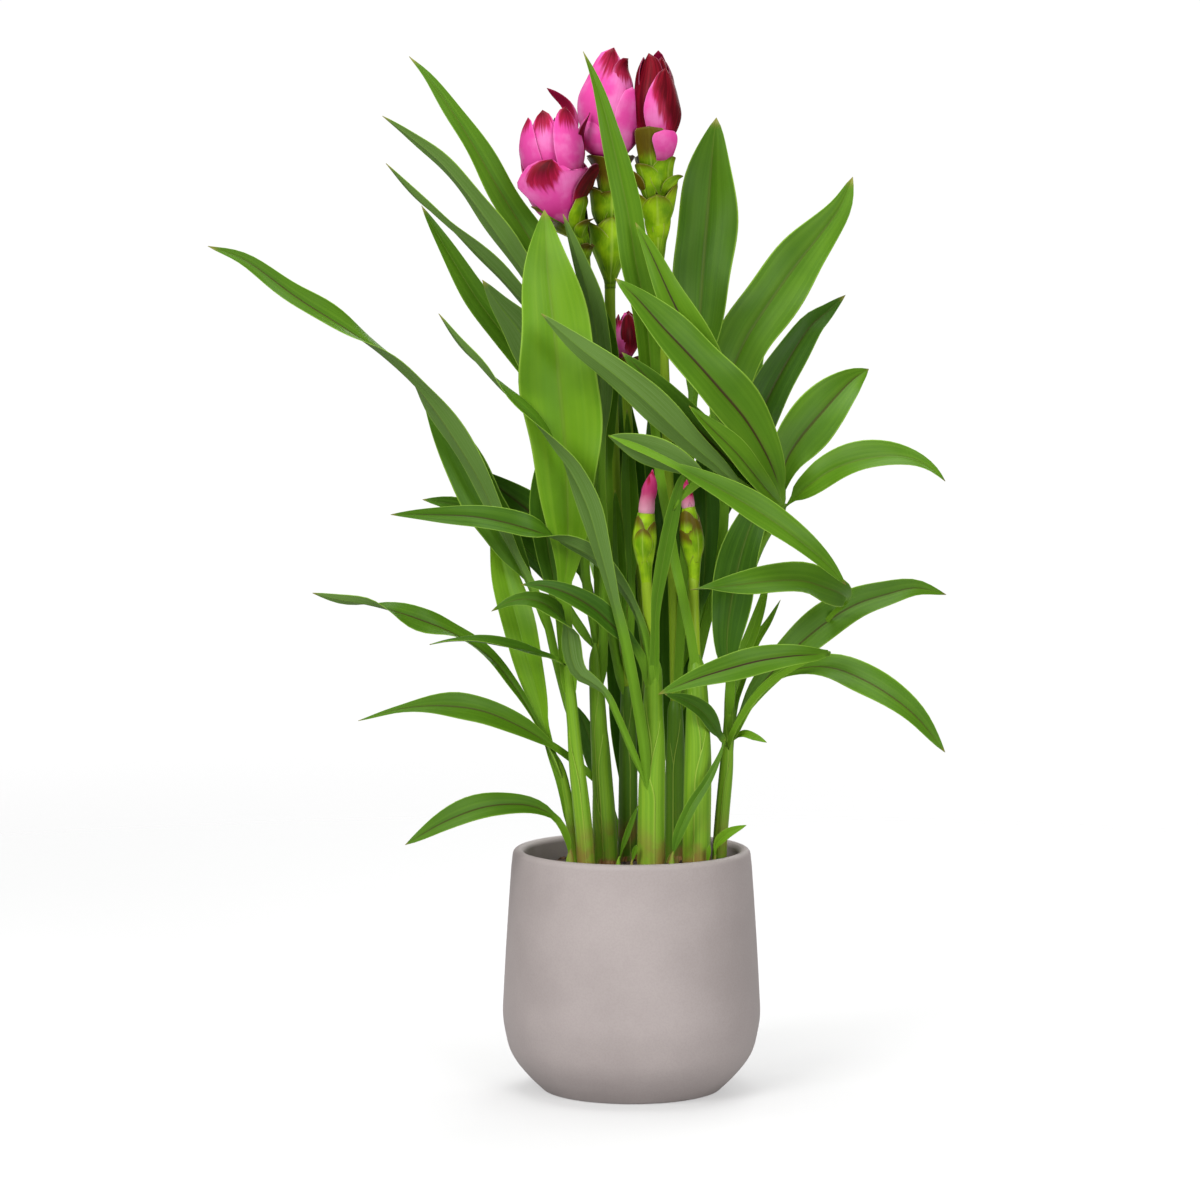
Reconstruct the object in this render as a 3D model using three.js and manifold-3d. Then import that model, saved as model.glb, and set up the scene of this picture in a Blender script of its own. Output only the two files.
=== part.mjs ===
// A potted curcuma: leafy shoots and three tall pink-headed blooms in a round ceramic pot.
// Millimetres, +Z up, origin at the middle of the pot's flat base, the front towards -Y.

import * as THREE from 'three';
import { mergeVertices } from 'three/addons/utils/BufferGeometryUtils.js';
import Module from 'manifold-3d';

const wasm = await Module();
wasm.setup();

// Driving dimensions of the pot and the soil.
const POT_HEIGHT = 146;
const POT_BASE_RADIUS = 52;
const POT_BELLY_RADIUS = 77.5;
const POT_BELLY_HEIGHT = 46;
const POT_RIM_RADIUS = 71.5;
const POT_WALL = 7;
const POT_FLOOR = 8;
const POT_SIDES = 28;
const SOIL_LEVEL = 132;
const SOIL_CROWN = 3.5;
const GAP = 0.32;
const SLIVER = 0.12;

// Driving dimensions of the plant.
const STALK_HALF = 2.8;
const STALK_THICKNESS = 1.4;
const BLADE_THICKNESS = 0.95;
const BLADE_EDGE = 0.75;
const TIP_HALF = 0.45;
const FOLD = 18;
const LEAF_STEP = 50;
const ROWS_SHARE = 0.5;
const STEM_SIDES = 8;
const SLIM_STEM_SIDES = 6;
const SLIM_STEM_RADIUS = 3.5;
const STEM_STEP = 45;
const BRACT_STEPS = 3;
const BRACT_THICKNESS = 0.8;
const BRACT_ROOT = 0.7;
const CORE_SIDES = 6;

// The plant is set out as it is seen from one point in front of it. A place is written as
// [across, up, near]: across and up on the upright plane through the pot's axis, and how far
// the place lies in front of that plane, on the line of sight.
const VIEWPOINT = new THREE.Vector3(-19, -3000, 583);

const COLOURS = {
  pot: { color: 0xb2a7a1, roughness: 0.85, metalness: 0 },
  soil: { color: 0x3a2a1e, roughness: 0.95, metalness: 0 },
  leaf: { color: 0x578a2e, roughness: 0.5, metalness: 0 },
  bract: { color: 0x86a43a, roughness: 0.5, metalness: 0 },
  petal: { color: 0xe25aa5, roughness: 0.45, metalness: 0 },
};

const radians = THREE.MathUtils.degToRad;

function seen([across, up, near]) {
  const share = 1 - near / -VIEWPOINT.y;
  const x = VIEWPOINT.x + (across - VIEWPOINT.x) * share;
  const z = VIEWPOINT.z + (up - VIEWPOINT.z) * share;
  return new THREE.Vector3(x, -near, z);
}

// A route is a smooth line through hand-set places, whose fourth number, a roll or a radius,
// runs evenly from place to place. level keeps the blade's sides level across its heading.
class Route {
  constructor(places, level = false) {
    const points = places.map(seen);
    this.extras = places.map((place) => place[3] ?? 0);
    this.curve = new THREE.CatmullRomCurve3(points, false, 'catmullrom', 0.5);
    this.length = this.curve.getLength();
    this.level = null;
    if (level) {
      const heading = points.at(-1).clone().sub(points[0]).setZ(0).normalize();
      this.level = new THREE.Vector3(heading.y, -heading.x, 0);
    }
  }

  at(u) {
    const t = this.curve.getUtoTmapping(u);
    const point = this.curve.getPoint(t);
    const forward = this.curve.getTangent(t);
    const row = Math.min(Math.floor(t * (this.extras.length - 1)), this.extras.length - 2);
    const share = t * (this.extras.length - 1) - row;
    const extra = THREE.MathUtils.lerp(this.extras[row], this.extras[row + 1], share);
    const side = this.level
      ? this.level.clone().addScaledVector(forward, -forward.dot(this.level))
      : forward.clone().cross(VIEWPOINT.clone().sub(point));
    side.normalize();
    const face = side.clone().cross(forward);
    return { point, forward, side, face, extra };
  }
}

// Closed solid through rings of equal count, each turning counter-clockwise about the way on.
// The second half of a ring lies under the first, and its faces are split the mirrored way.
function loft(rings) {
  const count = rings[0].length;
  const vertices = rings.flat().flatMap((point) => point.toArray());
  const triangles = [];
  for (let i = 0; i < rings.length - 1; i += 1) {
    for (let j = 0; j < count; j += 1) {
      const a = i * count + j;
      const b = i * count + (j + 1) % count;
      const c = b + count;
      const d = a + count;
      if (j < count / 2) triangles.push(a, b, c, a, c, d);
      else triangles.push(a, b, d, b, c, d);
    }
  }
  const last = (rings.length - 1) * count;
  for (let j = 0; j < count / 2 - 1; j += 1) {
    const [a, b, c, d] = [j, j + 1, count - 2 - j, count - 1 - j];
    triangles.push(a, c, b, a, d, c);
    triangles.push(last + a, last + b, last + c, last + a, last + c, last + d);
  }
  return manifoldFrom(vertices, triangles);
}

function manifoldFrom(vertices, triangles) {
  const mesh = new wasm.Mesh({
    numProp: 3,
    vertProperties: Float32Array.from(vertices),
    triVerts: Uint32Array.from(triangles),
  });
  return new wasm.Manifold(mesh);
}

function manifoldOf(geometry) {
  geometry.deleteAttribute('normal');
  geometry.deleteAttribute('uv');
  const merged = mergeVertices(geometry, 1e-4);
  const index = Array.from(merged.index.array);
  const triangles = [];
  for (let k = 0; k < index.length; k += 3) {
    const [a, b, c] = index.slice(k, k + 3);
    if (a !== b && b !== c && c !== a) triangles.push(a, b, c);
  }
  return manifoldFrom(merged.attributes.position.array, triangles);
}

function joined(solids) {
  return solids.reduce((whole, solid) => whole.add(solid));
}

// The biggest body of a solid, without the slivers and scraps that joins and cuts leave.
function mainBody(solid) {
  const bodies = solid.simplify(SLIVER).decompose();
  return bodies.reduce((best, body) => (body.volume() > best.volume() ? body : best));
}

function meshOf(name, solid, colour) {
  const { vertProperties, triVerts } = mainBody(solid).getMesh();
  const geometry = new THREE.BufferGeometry();
  geometry.setAttribute('position', new THREE.BufferAttribute(vertProperties, 3));
  geometry.setIndex(new THREE.BufferAttribute(triVerts, 1));
  geometry.computeVertexNormals();
  const mesh = new THREE.Mesh(geometry, new THREE.MeshStandardMaterial(COLOURS[colour]));
  mesh.name = name;
  return mesh;
}

function turned(profile) {
  const points = profile.map(([radius, height]) => new THREE.Vector2(radius, height));
  const geometry = new THREE.LatheGeometry(points, POT_SIDES);
  geometry.rotateX(Math.PI / 2);
  return manifoldOf(geometry);
}

// Radius of the pot's outside from the belly up to the rim, a shallow even taper.
function wallRadius(height) {
  const share = (height - POT_BELLY_HEIGHT) / (POT_HEIGHT - POT_BELLY_HEIGHT);
  return THREE.MathUtils.lerp(POT_BELLY_RADIUS, POT_RIM_RADIUS, share ** 1.25);
}

function potOutside() {
  const foot = [[0, 0], [POT_BASE_RADIUS, 0], [54.6, 1.2]];
  const turnUp = [[60.5, 6.8], [65.4, 12.6], [69.9, 18], [73.6, 25], [76, 35]];
  const wall = [46, 75, 105].map((height) => [wallRadius(height), height]);
  return [...foot, ...turnUp, ...wall];
}

function pot() {
  const lip = POT_WALL / 2;
  const rim = [];
  for (let angle = 0; angle <= 180; angle += 60) {
    const out = Math.cos(radians(angle)) * lip;
    const rise = Math.sin(radians(angle)) * lip;
    rim.push([POT_RIM_RADIUS - lip + out, POT_HEIGHT - lip + rise]);
  }
  const inside = [105, 40].map((height) => [wallRadius(Math.max(height, 46)) - POT_WALL, height]);
  const floor = [[62, 22], [50, POT_FLOOR], [0, POT_FLOOR]];
  return turned([...potOutside(), ...rim, ...inside, ...floor]);
}

// Potting soil, which fills the pot to just under its rim and is a little higher in the middle.
function soilBody() {
  const wall = [40, 105].map((height) => [wallRadius(Math.max(height, 46)) - POT_WALL - GAP, height]);
  const edge = wallRadius(SOIL_LEVEL) - POT_WALL - GAP - 0.5;
  const under = [[0, POT_FLOOR + GAP], [49.7, POT_FLOOR + GAP], [61.5, 22.2]];
  const crown = [1, 0.6, 0].map((share) => [
    edge * share,
    SOIL_LEVEL + SOIL_CROWN * (1 - share ** 2),
  ]);
  return turned([...under, ...wall, ...crown]);
}

// A stem, a stalk or a bud's body: a tapering round tube whose rows end with its radius.
function stemSolid(rows, spare = 0) {
  const route = new Route(rows);
  const steps = Math.max(2, Math.ceil(route.length / STEM_STEP), rows.length - 1);
  const sides = rows[0][3] < SLIM_STEM_RADIUS ? SLIM_STEM_SIDES : STEM_SIDES;
  const rings = [];
  for (let i = 0; i <= steps; i += 1) {
    const { point, forward, side, face, extra } = route.at(i / steps);
    if (i === 0) point.addScaledVector(forward, -spare);
    const ring = [];
    for (let k = 0; k < sides; k += 1) {
      const angle = (-k - 0.5) * 2 * Math.PI / sides;
      const out = side.clone().multiplyScalar(Math.cos(angle)).addScaledVector(face, Math.sin(angle));
      ring.push(point.clone().addScaledVector(out, extra + spare));
    }
    rings.push(ring);
  }
  return loft(rings);
}

// A section across a blade: its upper face from one edge to the other, then its underside back.
function section({ point, side, face }, half, thickness, edge, fold, columns = 3) {
  const top = [];
  const under = [];
  for (let k = 0; k < columns; k += 1) {
    const s = -1 + 2 * k / (columns - 1);
    const lift = Math.abs(s) * half * fold;
    const thick = THREE.MathUtils.lerp(thickness, edge, Math.abs(s)) / 2;
    const middle = point.clone().addScaledVector(side, s * half).addScaledVector(face, lift);
    top.push(middle.clone().addScaledVector(face, thick));
    under.unshift(middle.clone().addScaledVector(face, -thick));
  }
  return [...top, ...under];
}

// Half width of a leaf at a share of its length: a stalk, then a blade that swells and runs
// out to a point.
function leafHalf(u, { half, from, widest, stalk }) {
  const v = Math.max(0, (u - from) / (1 - from));
  const power = Math.log(0.5) / Math.log(widest);
  const blade = half * Math.sin(Math.PI * Math.min(v, 1) ** power) ** 0.8;
  return Math.max(blade || 0, THREE.MathUtils.lerp(stalk, TIP_HALF, v));
}

function leafSolid(spec) {
  const shape = { from: 0.3, widest: 0.5, stalk: STALK_HALF, fold: FOLD, ...spec };
  const route = new Route(shape.route, shape.level);
  const rows = shape.route.length;
  const steps = Math.max(5, Math.round(route.length / LEAF_STEP), Math.ceil(rows * ROWS_SHARE));
  const rings = [];
  for (let i = 0; i <= steps; i += 1) {
    const u = i / steps;
    const frame = route.at(u);
    const roll = radians(frame.extra);
    const [cosine, sine] = [Math.cos(roll), Math.sin(roll)];
    const side = frame.side.clone().multiplyScalar(cosine).addScaledVector(frame.face, sine);
    const face = frame.face.clone().multiplyScalar(cosine).addScaledVector(frame.side, -sine);
    const half = leafHalf(u, shape);
    const open = THREE.MathUtils.smoothstep(u, shape.from - 0.05, shape.from + 0.12);
    const thickness = THREE.MathUtils.lerp(shape.stalk * STALK_THICKNESS, BLADE_THICKNESS, open);
    const edge = THREE.MathUtils.lerp(shape.stalk * STALK_THICKNESS * 0.6, BLADE_EDGE, open);
    const fold = Math.tan(radians(shape.fold)) * open;
    rings.push(section({ point: frame.point, side, face }, half, thickness, edge, fold));
  }
  return loft(rings);
}

// Leafy shoots. A stem's rows end with its radius, a leaf's with its roll: 0 turns the upper
// face to the front, and 180 the underside.
const SHOOTS = {
  shoot_left_outer: {
    stem: [[-34, 108, 10, 3], [-35, 150, 10, 3], [-40, 185, 10, 2.6], [-47, 205, 11, 2.4]],
    leaves: [
      // Pale upright leaf, low on the left.
      {
        half: 10, from: 0.33, stalk: 2.6,
        route: [[-35, 150, 10], [-42, 183, 10], [-49, 207, 12, 5], [-56, 237, 13, 5], [-65, 270, 12],
          [-73, 300, 6, -5], [-79, 324, -4, -5], [-84, 346, -8]],
      },
      // Long twisted leaf that reaches level to the left.
      {
        half: 7.5, from: 0.22, stalk: 2.2,
        route: [[-40, 183, 10.5, -90], [-48, 204, 15, -80], [-58, 223, 18, -60], [-70, 243, 22, -50],
          [-85, 261, 26, -70], [-106, 275, 30, -60], [-127, 284, 34, -20], [-148, 290, 36, -60],
          [-172, 295, 36, -120], [-191, 300, 34, -150]],
      },
    ],
  },
  shoot_left_inner: {
    stem: [[-26, 108, 26, 4.6], [-28, 150, 26, 4.6], [-32, 190, 25, 4.2], [-36, 231, 24, 3.6],
      [-39, 264, 24, 3.2], [-41, 294, 25, 2.8]],
    leaves: [
      // Big bright front leaf.
      {
        half: 23, from: 0.2, widest: 0.57, stalk: 4.8, fold: 15,
        route: [[-36, 231, 24], [-39, 264, 25], [-41, 294, 27], [-39, 318, 31], [-38, 342, 35, 5],
          [-39, 378, 40, 5], [-42, 414, 42], [-46, 456, 40, -5], [-50, 492, 36, -5], [-52, 528.5, 30]],
      },
      // Long twisted leaf that sweeps up to the far left.
      {
        half: 10, from: 0.22, widest: 0.56,
        route: [[-34.5, 216, 23, -150], [-41, 240, 18, -150], [-47, 264, 17, -150], [-52, 285, 16, -150],
          [-60, 304, 16, -150], [-71, 326, 17, -150], [-81, 347, 20, -150], [-91, 368, 24, -150],
          [-103, 388, 28, -145], [-117, 409, 32, -130], [-131, 426, 36, -110], [-151, 444, 40, -90],
          [-171, 458, 42, -45], [-199, 476, 42, -25], [-229, 498, 38, -15], [-252, 507, 32, -10]],
      },
      // Dark leaf with a red midrib, left of the middle.
      {
        half: 13, from: 0.2,
        route: [[-50, 273, 16.8], [-54, 290, 14.5], [-62, 309, 10], [-72, 325, 8], [-80, 341, 7], [-88, 354, 6, 5],
          [-99, 375, 5, 5], [-109, 394, 5, 5], [-118, 409, 5], [-125, 419, 5]],
      },
      // Narrow dark leaf behind the big bright one.
      {
        half: 9, from: 0.25,
        route: [[-36.5, 240, 22.5], [-41, 270, 18], [-45, 300, 16], [-50, 327, 14], [-52, 354, 14],
          [-49, 384, 14], [-44, 408, 14]],
      },
      // Leaf held edge-on, level to the left.
      {
        half: 6.5, from: 0.1,
        route: [[-39, 256, 26, -60], [-48, 261, 34, -60], [-61, 265, 44, -60], [-76, 268, 54, -65],
          [-94, 271, 62, -70], [-109, 271, 66, -80], [-121, 269, 68, -90]],
      },
    ],
  },
  shoot_mid_left: {
    stem: [[-15, 108, 5, 6.5], [-16, 150, 5, 6.3], [-19, 200, 5, 5.2], [-21, 240, 5, 4.4],
      [-22, 270, 4, 3.8]],
    flowerStalk: [[-19, 262, 4, 2.8], [-16, 294, -2, 2.8], [-15, 354, -6, 2.8], [-17, 402, -6, 2.8],
      [-21, 444, -4, 2.8], [-25, 474, -2, 2.8], [-27, 492, 3, 2.8], [-28, 506.2, 5, 2.8]],
    leaves: [
      // Tallest leaf of the left, which leans out to a fine tip.
      {
        half: 9.5, from: 0.42,
        route: [[-18, 240, 5], [-19, 275, 2], [-20, 315, -1], [-19, 354, -3], [-21, 396, -4, -10],
          [-28, 435, -5, -20], [-42, 478, -6, -25], [-57, 505, -9, -25], [-77, 537, -14, -30],
          [-100, 576, -24, -30], [-119, 604, -34, -35], [-132, 619, -42, -40]],
      },
      // Its neighbour, turned to show a grey-green underside.
      {
        half: 9, from: 0.4,
        route: [[-19, 262, 3, -170], [-28, 312, 4, -165], [-26, 354, 6, -160], [-25, 390, 8, -150],
          [-31, 426, 8, -140], [-43, 459, 6, -135], [-56, 480, 4, -130], [-70, 500, 2, -130],
          [-85, 521, 0, -130], [-100, 541, -4, -130], [-115, 558, -8, -130], [-132, 572, -14, -135],
          [-148, 584, -22, -140]],
      },
      // Narrow upright leaf right of the big bright one, underside out.
      {
        half: 8, from: 0.5,
        route: [[-18, 240, 6, -170], [-17, 285, 10, -170], [-17, 330, 13, -165], [-19, 372, 15, -160],
          [-18, 408, 16, -155], [-19, 441, 16, -150], [-23, 467, 17, -140], [-29, 489, 21, -140],
          [-35, 508, 26, -145], [-41, 526, 30, -150]],
      },
      // Second narrow upright leaf, behind the first.
      {
        half: 7.5, from: 0.5,
        route: [[-19, 240, 3], [-15, 300, 0], [-14, 354, 2], [-15, 402, 3], [-15, 432, 3],
          [-17, 456, 3], [-23, 477, 3], [-28, 493, 3]],
      },
      // Dark leaf in the shade left of the stems.
      {
        half: 11, from: 0.35,
        route: [[-20, 258, 4], [-23, 285, -2], [-28, 309, -10], [-40, 329, -14], [-54, 343, -15],
          [-70, 356, -14, 5], [-86, 368, -10, 5], [-95, 375, -8]],
      },
      // Leaf behind it, level to the left.
      {
        half: 8, from: 0.3,
        route: [[-20.5, 264, 4], [-36, 287, -8], [-47, 305, -18], [-61, 324, -22, -10],
          [-79, 340, -22, -10], [-103, 352, -16, -10], [-125, 356, -14, -20]],
      },
      // Lowest long leaf on the left, level and a little drooping.
      {
        half: 8.2, from: 0.25, stalk: 2.2,
        route: [[-17, 180, 2, -20], [-25, 190, 3, -20], [-33, 197, 6, -20], [-42, 204, 14, -20],
          [-51, 210, 22, -20], [-68, 220, 32, -20], [-90, 229, 40, -20], [-115, 232, 46, -20],
          [-139, 230, 50, -20], [-164, 223, 52, -20]],
      },
    ],
  },
  shoot_centre: {
    stem: [[12, 108, 38, 7.5], [12, 160, 38, 7], [13, 200, 38, 6], [13, 235, 38, 5]],
    flowerStalk: [[13, 230, 38, 3.2], [12, 262, 39, 3.2], [9, 300, 40, 3.2], [8.8, 311.4, 40, 3.2]],
    leaves: [
      // Long twisted leaf that crosses to the left and up.
      {
        half: 8.5, from: 0.35, stalk: 3.2,
        route: [[10.5, 174, 42, -175], [7, 210, 50, -175], [2, 240, 54, -170], [-4, 270, 58, -165],
          [-11, 297, 60, -160], [-19, 327, 60, -155], [-26, 351, 60, -150], [-36, 372, 60, -130],
          [-46, 386, 60, -100], [-56, 400, 60, -70], [-66, 411, 58, -65], [-77, 421, 56, -80],
          [-89, 434, 54, -105], [-102, 449, 50, -125], [-115, 467, 46, -140]],
      },
      // Leaf that bends level to the left over it.
      {
        half: 8, from: 0.2,
        route: [[12.5, 234, 41, -150], [11, 255, 44, -150], [7, 276, 44, -150], [0, 294, 44, -150],
          [-10, 309, 45, -140], [-24, 322, 46, -130], [-42, 331, 48, -110], [-61, 338, 50, -40],
          [-79, 343, 50, -20], [-97, 346, 48, -15], [-121, 347, 44, -10], [-144, 347, 38, -10]],
      },
      // Short dark leaf to the left.
      {
        half: 7, from: 0.25,
        route: [[12, 234, 40], [8, 255, 42], [1, 269, 46, -10], [-10, 279, 52, -20],
          [-22, 290, 58, -25], [-37, 299, 64, -25], [-52, 304, 68, -25], [-66, 305, 70, -25]],
      },
      // Leaf that rises between the buds and folds over to the right.
      {
        half: 9, from: 0.45,
        route: [[13, 235, 40], [16, 264, 46], [20, 287, 54], [24, 309, 62], [28, 336, 70],
          [33, 361, 76], [40, 377, 82, 15], [53, 373, 86, 30], [69, 361, 88, 30], [86, 347, 88, 30],
          [101, 332, 88, 25], [118, 318, 87, 20], [128, 305, 84, 20]],
      },
      // Its twin, which folds back to the left over the buds with its grey underside out.
      {
        half: 10, from: 0.3,
        route: [[30, 346, 72, -150], [36, 359, 77, -150], [43, 366, 81, -150], [46, 368, 86, -150],
          [39, 371, 91, -150], [25, 378, 94, -150], [8, 385, 96, -150], [-6, 391, 97, -150],
          [-14, 394, 97, -150]],
      },
      // Slim leaf that arches to the left, twists and hooks over.
      {
        half: 7, from: 0.36, stalk: 2.2,
        route: [[9.5, 178, 42, -170], [7.5, 187, 45, -170], [0, 205, 48, -165], [-8, 224, 48, -160],
          [-15, 239, 47, -160], [-23, 246, 45, -160], [-31, 251, 42, -160], [-35, 258, 40, -155],
          [-37, 268, 41, -150], [-38, 277, 44, -120], [-42, 285, 49, -70], [-50, 292, 53, -35],
          [-60, 296, 56, -25], [-72, 295, 56, -20], [-84, 289, 55, -15]],
      },
    ],
  },
  shoot_right: {
    stem: [[38, 108, 30, 7.3], [38, 160, 30, 6.8], [40, 200, 29, 5.8], [40, 235, 27, 5],
      [38, 262, 24, 4.5]],
    flowerStalk: [[38.2, 256, 24, 3.2], [37.2, 285, 21, 3.2], [36.9, 311.2, 18, 3.2]],
    leaves: [
      // Tall leaf that stands in the middle and tips to the left at the top.
      {
        half: 8.8, from: 0.38,
        route: [[40, 234, 27], [37, 264, 28], [32, 291, 28], [26, 318, 27], [22, 342, 26],
          [17, 369, 26], [14, 396, 27], [12, 423, 29], [10, 450, 32], [7, 474, 36, -5],
          [2, 499, 40, -5], [-2, 525, 43, -5], [-7, 549, 45], [-12, 570, 46, -10],
          [-17, 589, 46, -20], [-23, 607, 45, -30], [-29, 622, 43, -40]],
      },
    ],
  },
  shoot_right_outer: {
    stem: [[52, 108, 8, 3.6], [53, 150, 8, 3.6], [58, 210, 8, 3.4], [59, 240, 8, 3.2],
      [62, 270, 6, 3.2], [67, 300, 4, 3], [75, 325, -2, 3], [84, 342, 2, 3.2], [92, 353, 14, 3.4]],
    leaves: [
      // Broad dark leaf in front of the stem.
      {
        half: 12.5, from: 0.15,
        route: [[58.5, 222, 9], [59, 246, 16], [57, 270, 17], [60, 297, 16, 5], [66, 325, 14, 10],
          [74, 348, 12, 10], [82, 360, 10, 5], [86, 372, 8]],
      },
      // Leaf that leans out to the upper right.
      {
        half: 15, from: 0.05,
        route: [[91, 351, 12], [89, 365, 14, 10], [92, 379, 12, 10], [99, 391, 8, 10],
          [107, 401, 4, 10], [115, 410, 0, 10], [124, 420, -6, 10], [132, 428, -12, 5],
          [141, 434, -18, 5]],
      },
      // Leaf that arches over to the right.
      {
        half: 10.5, from: 0.05, widest: 0.42,
        route: [[91, 351, 13], [100, 360, 19, 20], [109, 367, 24, 25], [118, 373, 26, 25],
          [130, 378, 30, 28], [143, 381, 33, 34], [156, 382, 36, 40], [168, 380, 39, 45],
          [178, 375, 42, 48], [187, 367, 45, 50]],
      },
      // Broad leaf that crosses up to the left over the stems.
      {
        half: 16, from: 0.08,
        route: [[91, 350, 14], [87, 366, 32, -20], [80, 383, 46, -25], [68, 403, 54, -30],
          [53, 421, 60, -30], [37, 439, 64, -30], [19, 458, 66, -30], [3, 476, 66, -25],
          [-10, 488, 64, -20]],
      },
      // Narrower leaf beside it that ends higher.
      {
        half: 11, from: 0.08,
        route: [[91, 351, 14], [86, 372, 26, -10], [77, 390, 36, -15], [62, 411, 42, -15],
          [47, 432, 47, -15], [35, 453, 50, -15], [23, 477, 51, -15], [12, 501, 51, -10],
          [2, 521, 50, -10]],
      },
      // Dark curled leaf.
      {
        half: 8, from: 0.08,
        route: [[91, 351, 14, -40], [88, 367, 26, -40], [80, 381, 38, -50], [68, 393, 44, -50],
          [54, 405, 46, -40], [43, 419, 46, -30]],
      },
      // Small leaf with a pale red midrib.
      {
        half: 8, from: 0.08,
        route: [[91, 351, 14, -30], [82, 360, 38, -35], [72, 372, 56, -35], [62, 384, 64, -35],
          [50, 396, 70, -35], [34, 412, 76, -30]],
      },
      // Green leaf under the broad one.
      {
        half: 10, from: 0.08,
        route: [[91, 350, 14, -10], [80, 359, 30, -15], [68, 370, 42, -15], [52, 385, 48, -15],
          [35, 402, 50, -15], [18, 419, 50, -10], [5, 433, 48, -10], [-6, 444, 46]],
      },
      // Long leaf with its light underside out.
      {
        half: 10, from: 0.22,
        route: [[91, 351, 14, -160], [78, 356, 36, -160], [64, 365, 52, -155], [49, 378, 60, -155],
          [34, 391, 66, -155], [18, 406, 70, -155], [4, 419, 72, -155], [-13, 433, 73, -155],
          [-30, 446, 72, -155], [-43, 457, 70, -155], [-54, 467, 68, -155]],
      },
      // Leaf that reaches far to the right.
      {
        half: 11, from: 0.08,
        route: [[58, 207, 8], [64, 221, 6, 10], [72, 236, 2, 15], [83, 251, -4, 15],
          [98, 267, -10, 15], [116, 282, -18, 15], [134, 293, -26, 15], [152, 299, -32, 20],
          [170, 303, -38, 25], [188, 299, -44, 30]],
      },
      // Leaf that loops round and comes back to the front.
      {
        half: 10.5, from: 0.4,
        route: [[58, 212, 7], [70, 231, -6], [88, 251, -14], [106, 270, -20], [121, 287, -18],
          [132, 296, -2], [130, 301, 18, -10], [117, 305, 34, -25], [102, 307, 44, -30],
          [84, 307, 54, -30], [66, 305, 61, -30], [50, 303, 66, -50], [35, 302, 70, -110]],
      },
      // Broad low leaf that droops to the right.
      {
        half: 9.5, from: 0.3,
        route: [[58, 207, 9, 20], [65, 221, 18, 30], [74, 236, 24, 40], [86, 248, 32, 40],
          [101, 254.5, 42, 35], [119, 255, 52, 30], [137, 248.5, 60, 25], [155, 238, 68, 20],
          [172, 224, 74, 20], [188, 204, 80, 20]],
      },
      // Leaf that folds back on itself towards the front.
      {
        half: 8, from: 0.45,
        route: [[58, 204, 9, 20], [60, 214, 20, 20], [67, 227, 29, 20], [77, 240, 38, 20], [92, 252, 50, 10],
          [108, 261, 62], [118, 264, 74], [112, 263, 86, -10], [96, 262, 94, -15],
          [76, 259, 100, -15], [57, 254, 104, -15], [38, 248, 107, -15], [16, 239, 110, -15]],
      },
      // Short dark leaf across the front.
      {
        half: 5.5, from: 0.2, stalk: 2.2,
        route: [[57.5, 207, 9, -20], [51, 217, 28, -20], [43, 228, 40, -20], [32, 235, 48, -20],
          [20, 239, 53, -20]],
      },
      // Young leaves close to the stem.
      {
        half: 2.6, from: 0.2, stalk: 1.6,
        route: [[58, 209, 9, 20], [66, 215, 18, 20], [74, 213, 24, 20], [81, 210, 28, 20]],
      },
      {
        half: 4, from: 0.2, stalk: 1.8,
        route: [[57.5, 207, 7], [59, 231, -6], [65, 258, -14], [72, 277, -18], [78, 295, -20],
          [82, 312, -22]],
      },
      {
        half: 3, from: 0.2, stalk: 1.8,
        route: [[58, 209, 7], [64, 240, -14], [72, 267, -22], [82, 283, -24], [89, 296, -24]],
      },
    ],
  },
  shoot_back_left: {
    stem: [[-2, 108, -18, 5.5], [-2, 160, -18, 5.2], [-2, 210, -18, 4.6], [-3, 250, -18, 4]],
    flowerStalk: [[-3, 244, -18, 3.2], [-6, 300, -20, 3.2], [-9, 350, -20, 3.2], [-11, 400, -18, 3.2],
      [-12, 440, -16, 3.2], [-13, 470, -14, 3.2], [-13, 491.5, -13, 3.2]],
    leaves: [
      // Upper leaf of the left pair behind the tallest one.
      {
        half: 8, from: 0.4,
        route: [[-3, 246, -20, -150], [-8, 294, -26, -150], [-13, 336, -30, -140],
          [-19, 378, -32, -130], [-28, 414, -33, -130], [-40, 444, -33, -130],
          [-52, 462, -32, -130], [-67, 477, -31, -125], [-82, 493, -31, -120],
          [-97, 508, -32, -115], [-112, 521, -34, -110], [-127, 535, -38, -120],
          [-146, 556, -44, -130]],
      },
      // Lower leaf of that pair, strongly folded.
      {
        half: 9, from: 0.4, fold: 32,
        route: [[-3, 240, -20], [-9, 282, -32], [-14, 318, -40], [-20, 354, -46], [-30, 384, -50],
          [-43, 411, -52, -5], [-58, 432, -52, -10], [-76, 454, -52, -10], [-91, 474, -52, -10],
          [-103, 493, -54, -10], [-115, 513, -58, -10], [-125, 531, -62, -10]],
      },
      // Wide leaf with its grey underside to the front.
      {
        half: 14, from: 0.45,
        route: [[-4, 234, -16, -175], [-12, 276, -14, -175], [-17, 312, -14, -170],
          [-20, 345, -18, -165], [-26, 378, -18, -165], [-38, 408, -18, -165],
          [-54, 436, -18, -165], [-68, 458, -18, -165], [-79, 472, -18, -165],
          [-89, 487, -18, -165]],
      },
      // Narrow young leaves between the stems.
      {
        half: 5, from: 0.3, stalk: 2.2,
        route: [[-2.5, 246, -16], [-5, 282, -9], [-8, 318, -9], [-9, 342, -9], [-10, 362, -8]],
      },
      {
        half: 5, from: 0.3, stalk: 2.2,
        route: [[-2, 250, -16.5], [0, 300, -10], [-1, 350, -8], [-2, 385, -8], [-3, 410, -10]],
      },
      // Leaf that leans away to the back.
      {
        half: 16, from: 0.3, level: true,
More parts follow.
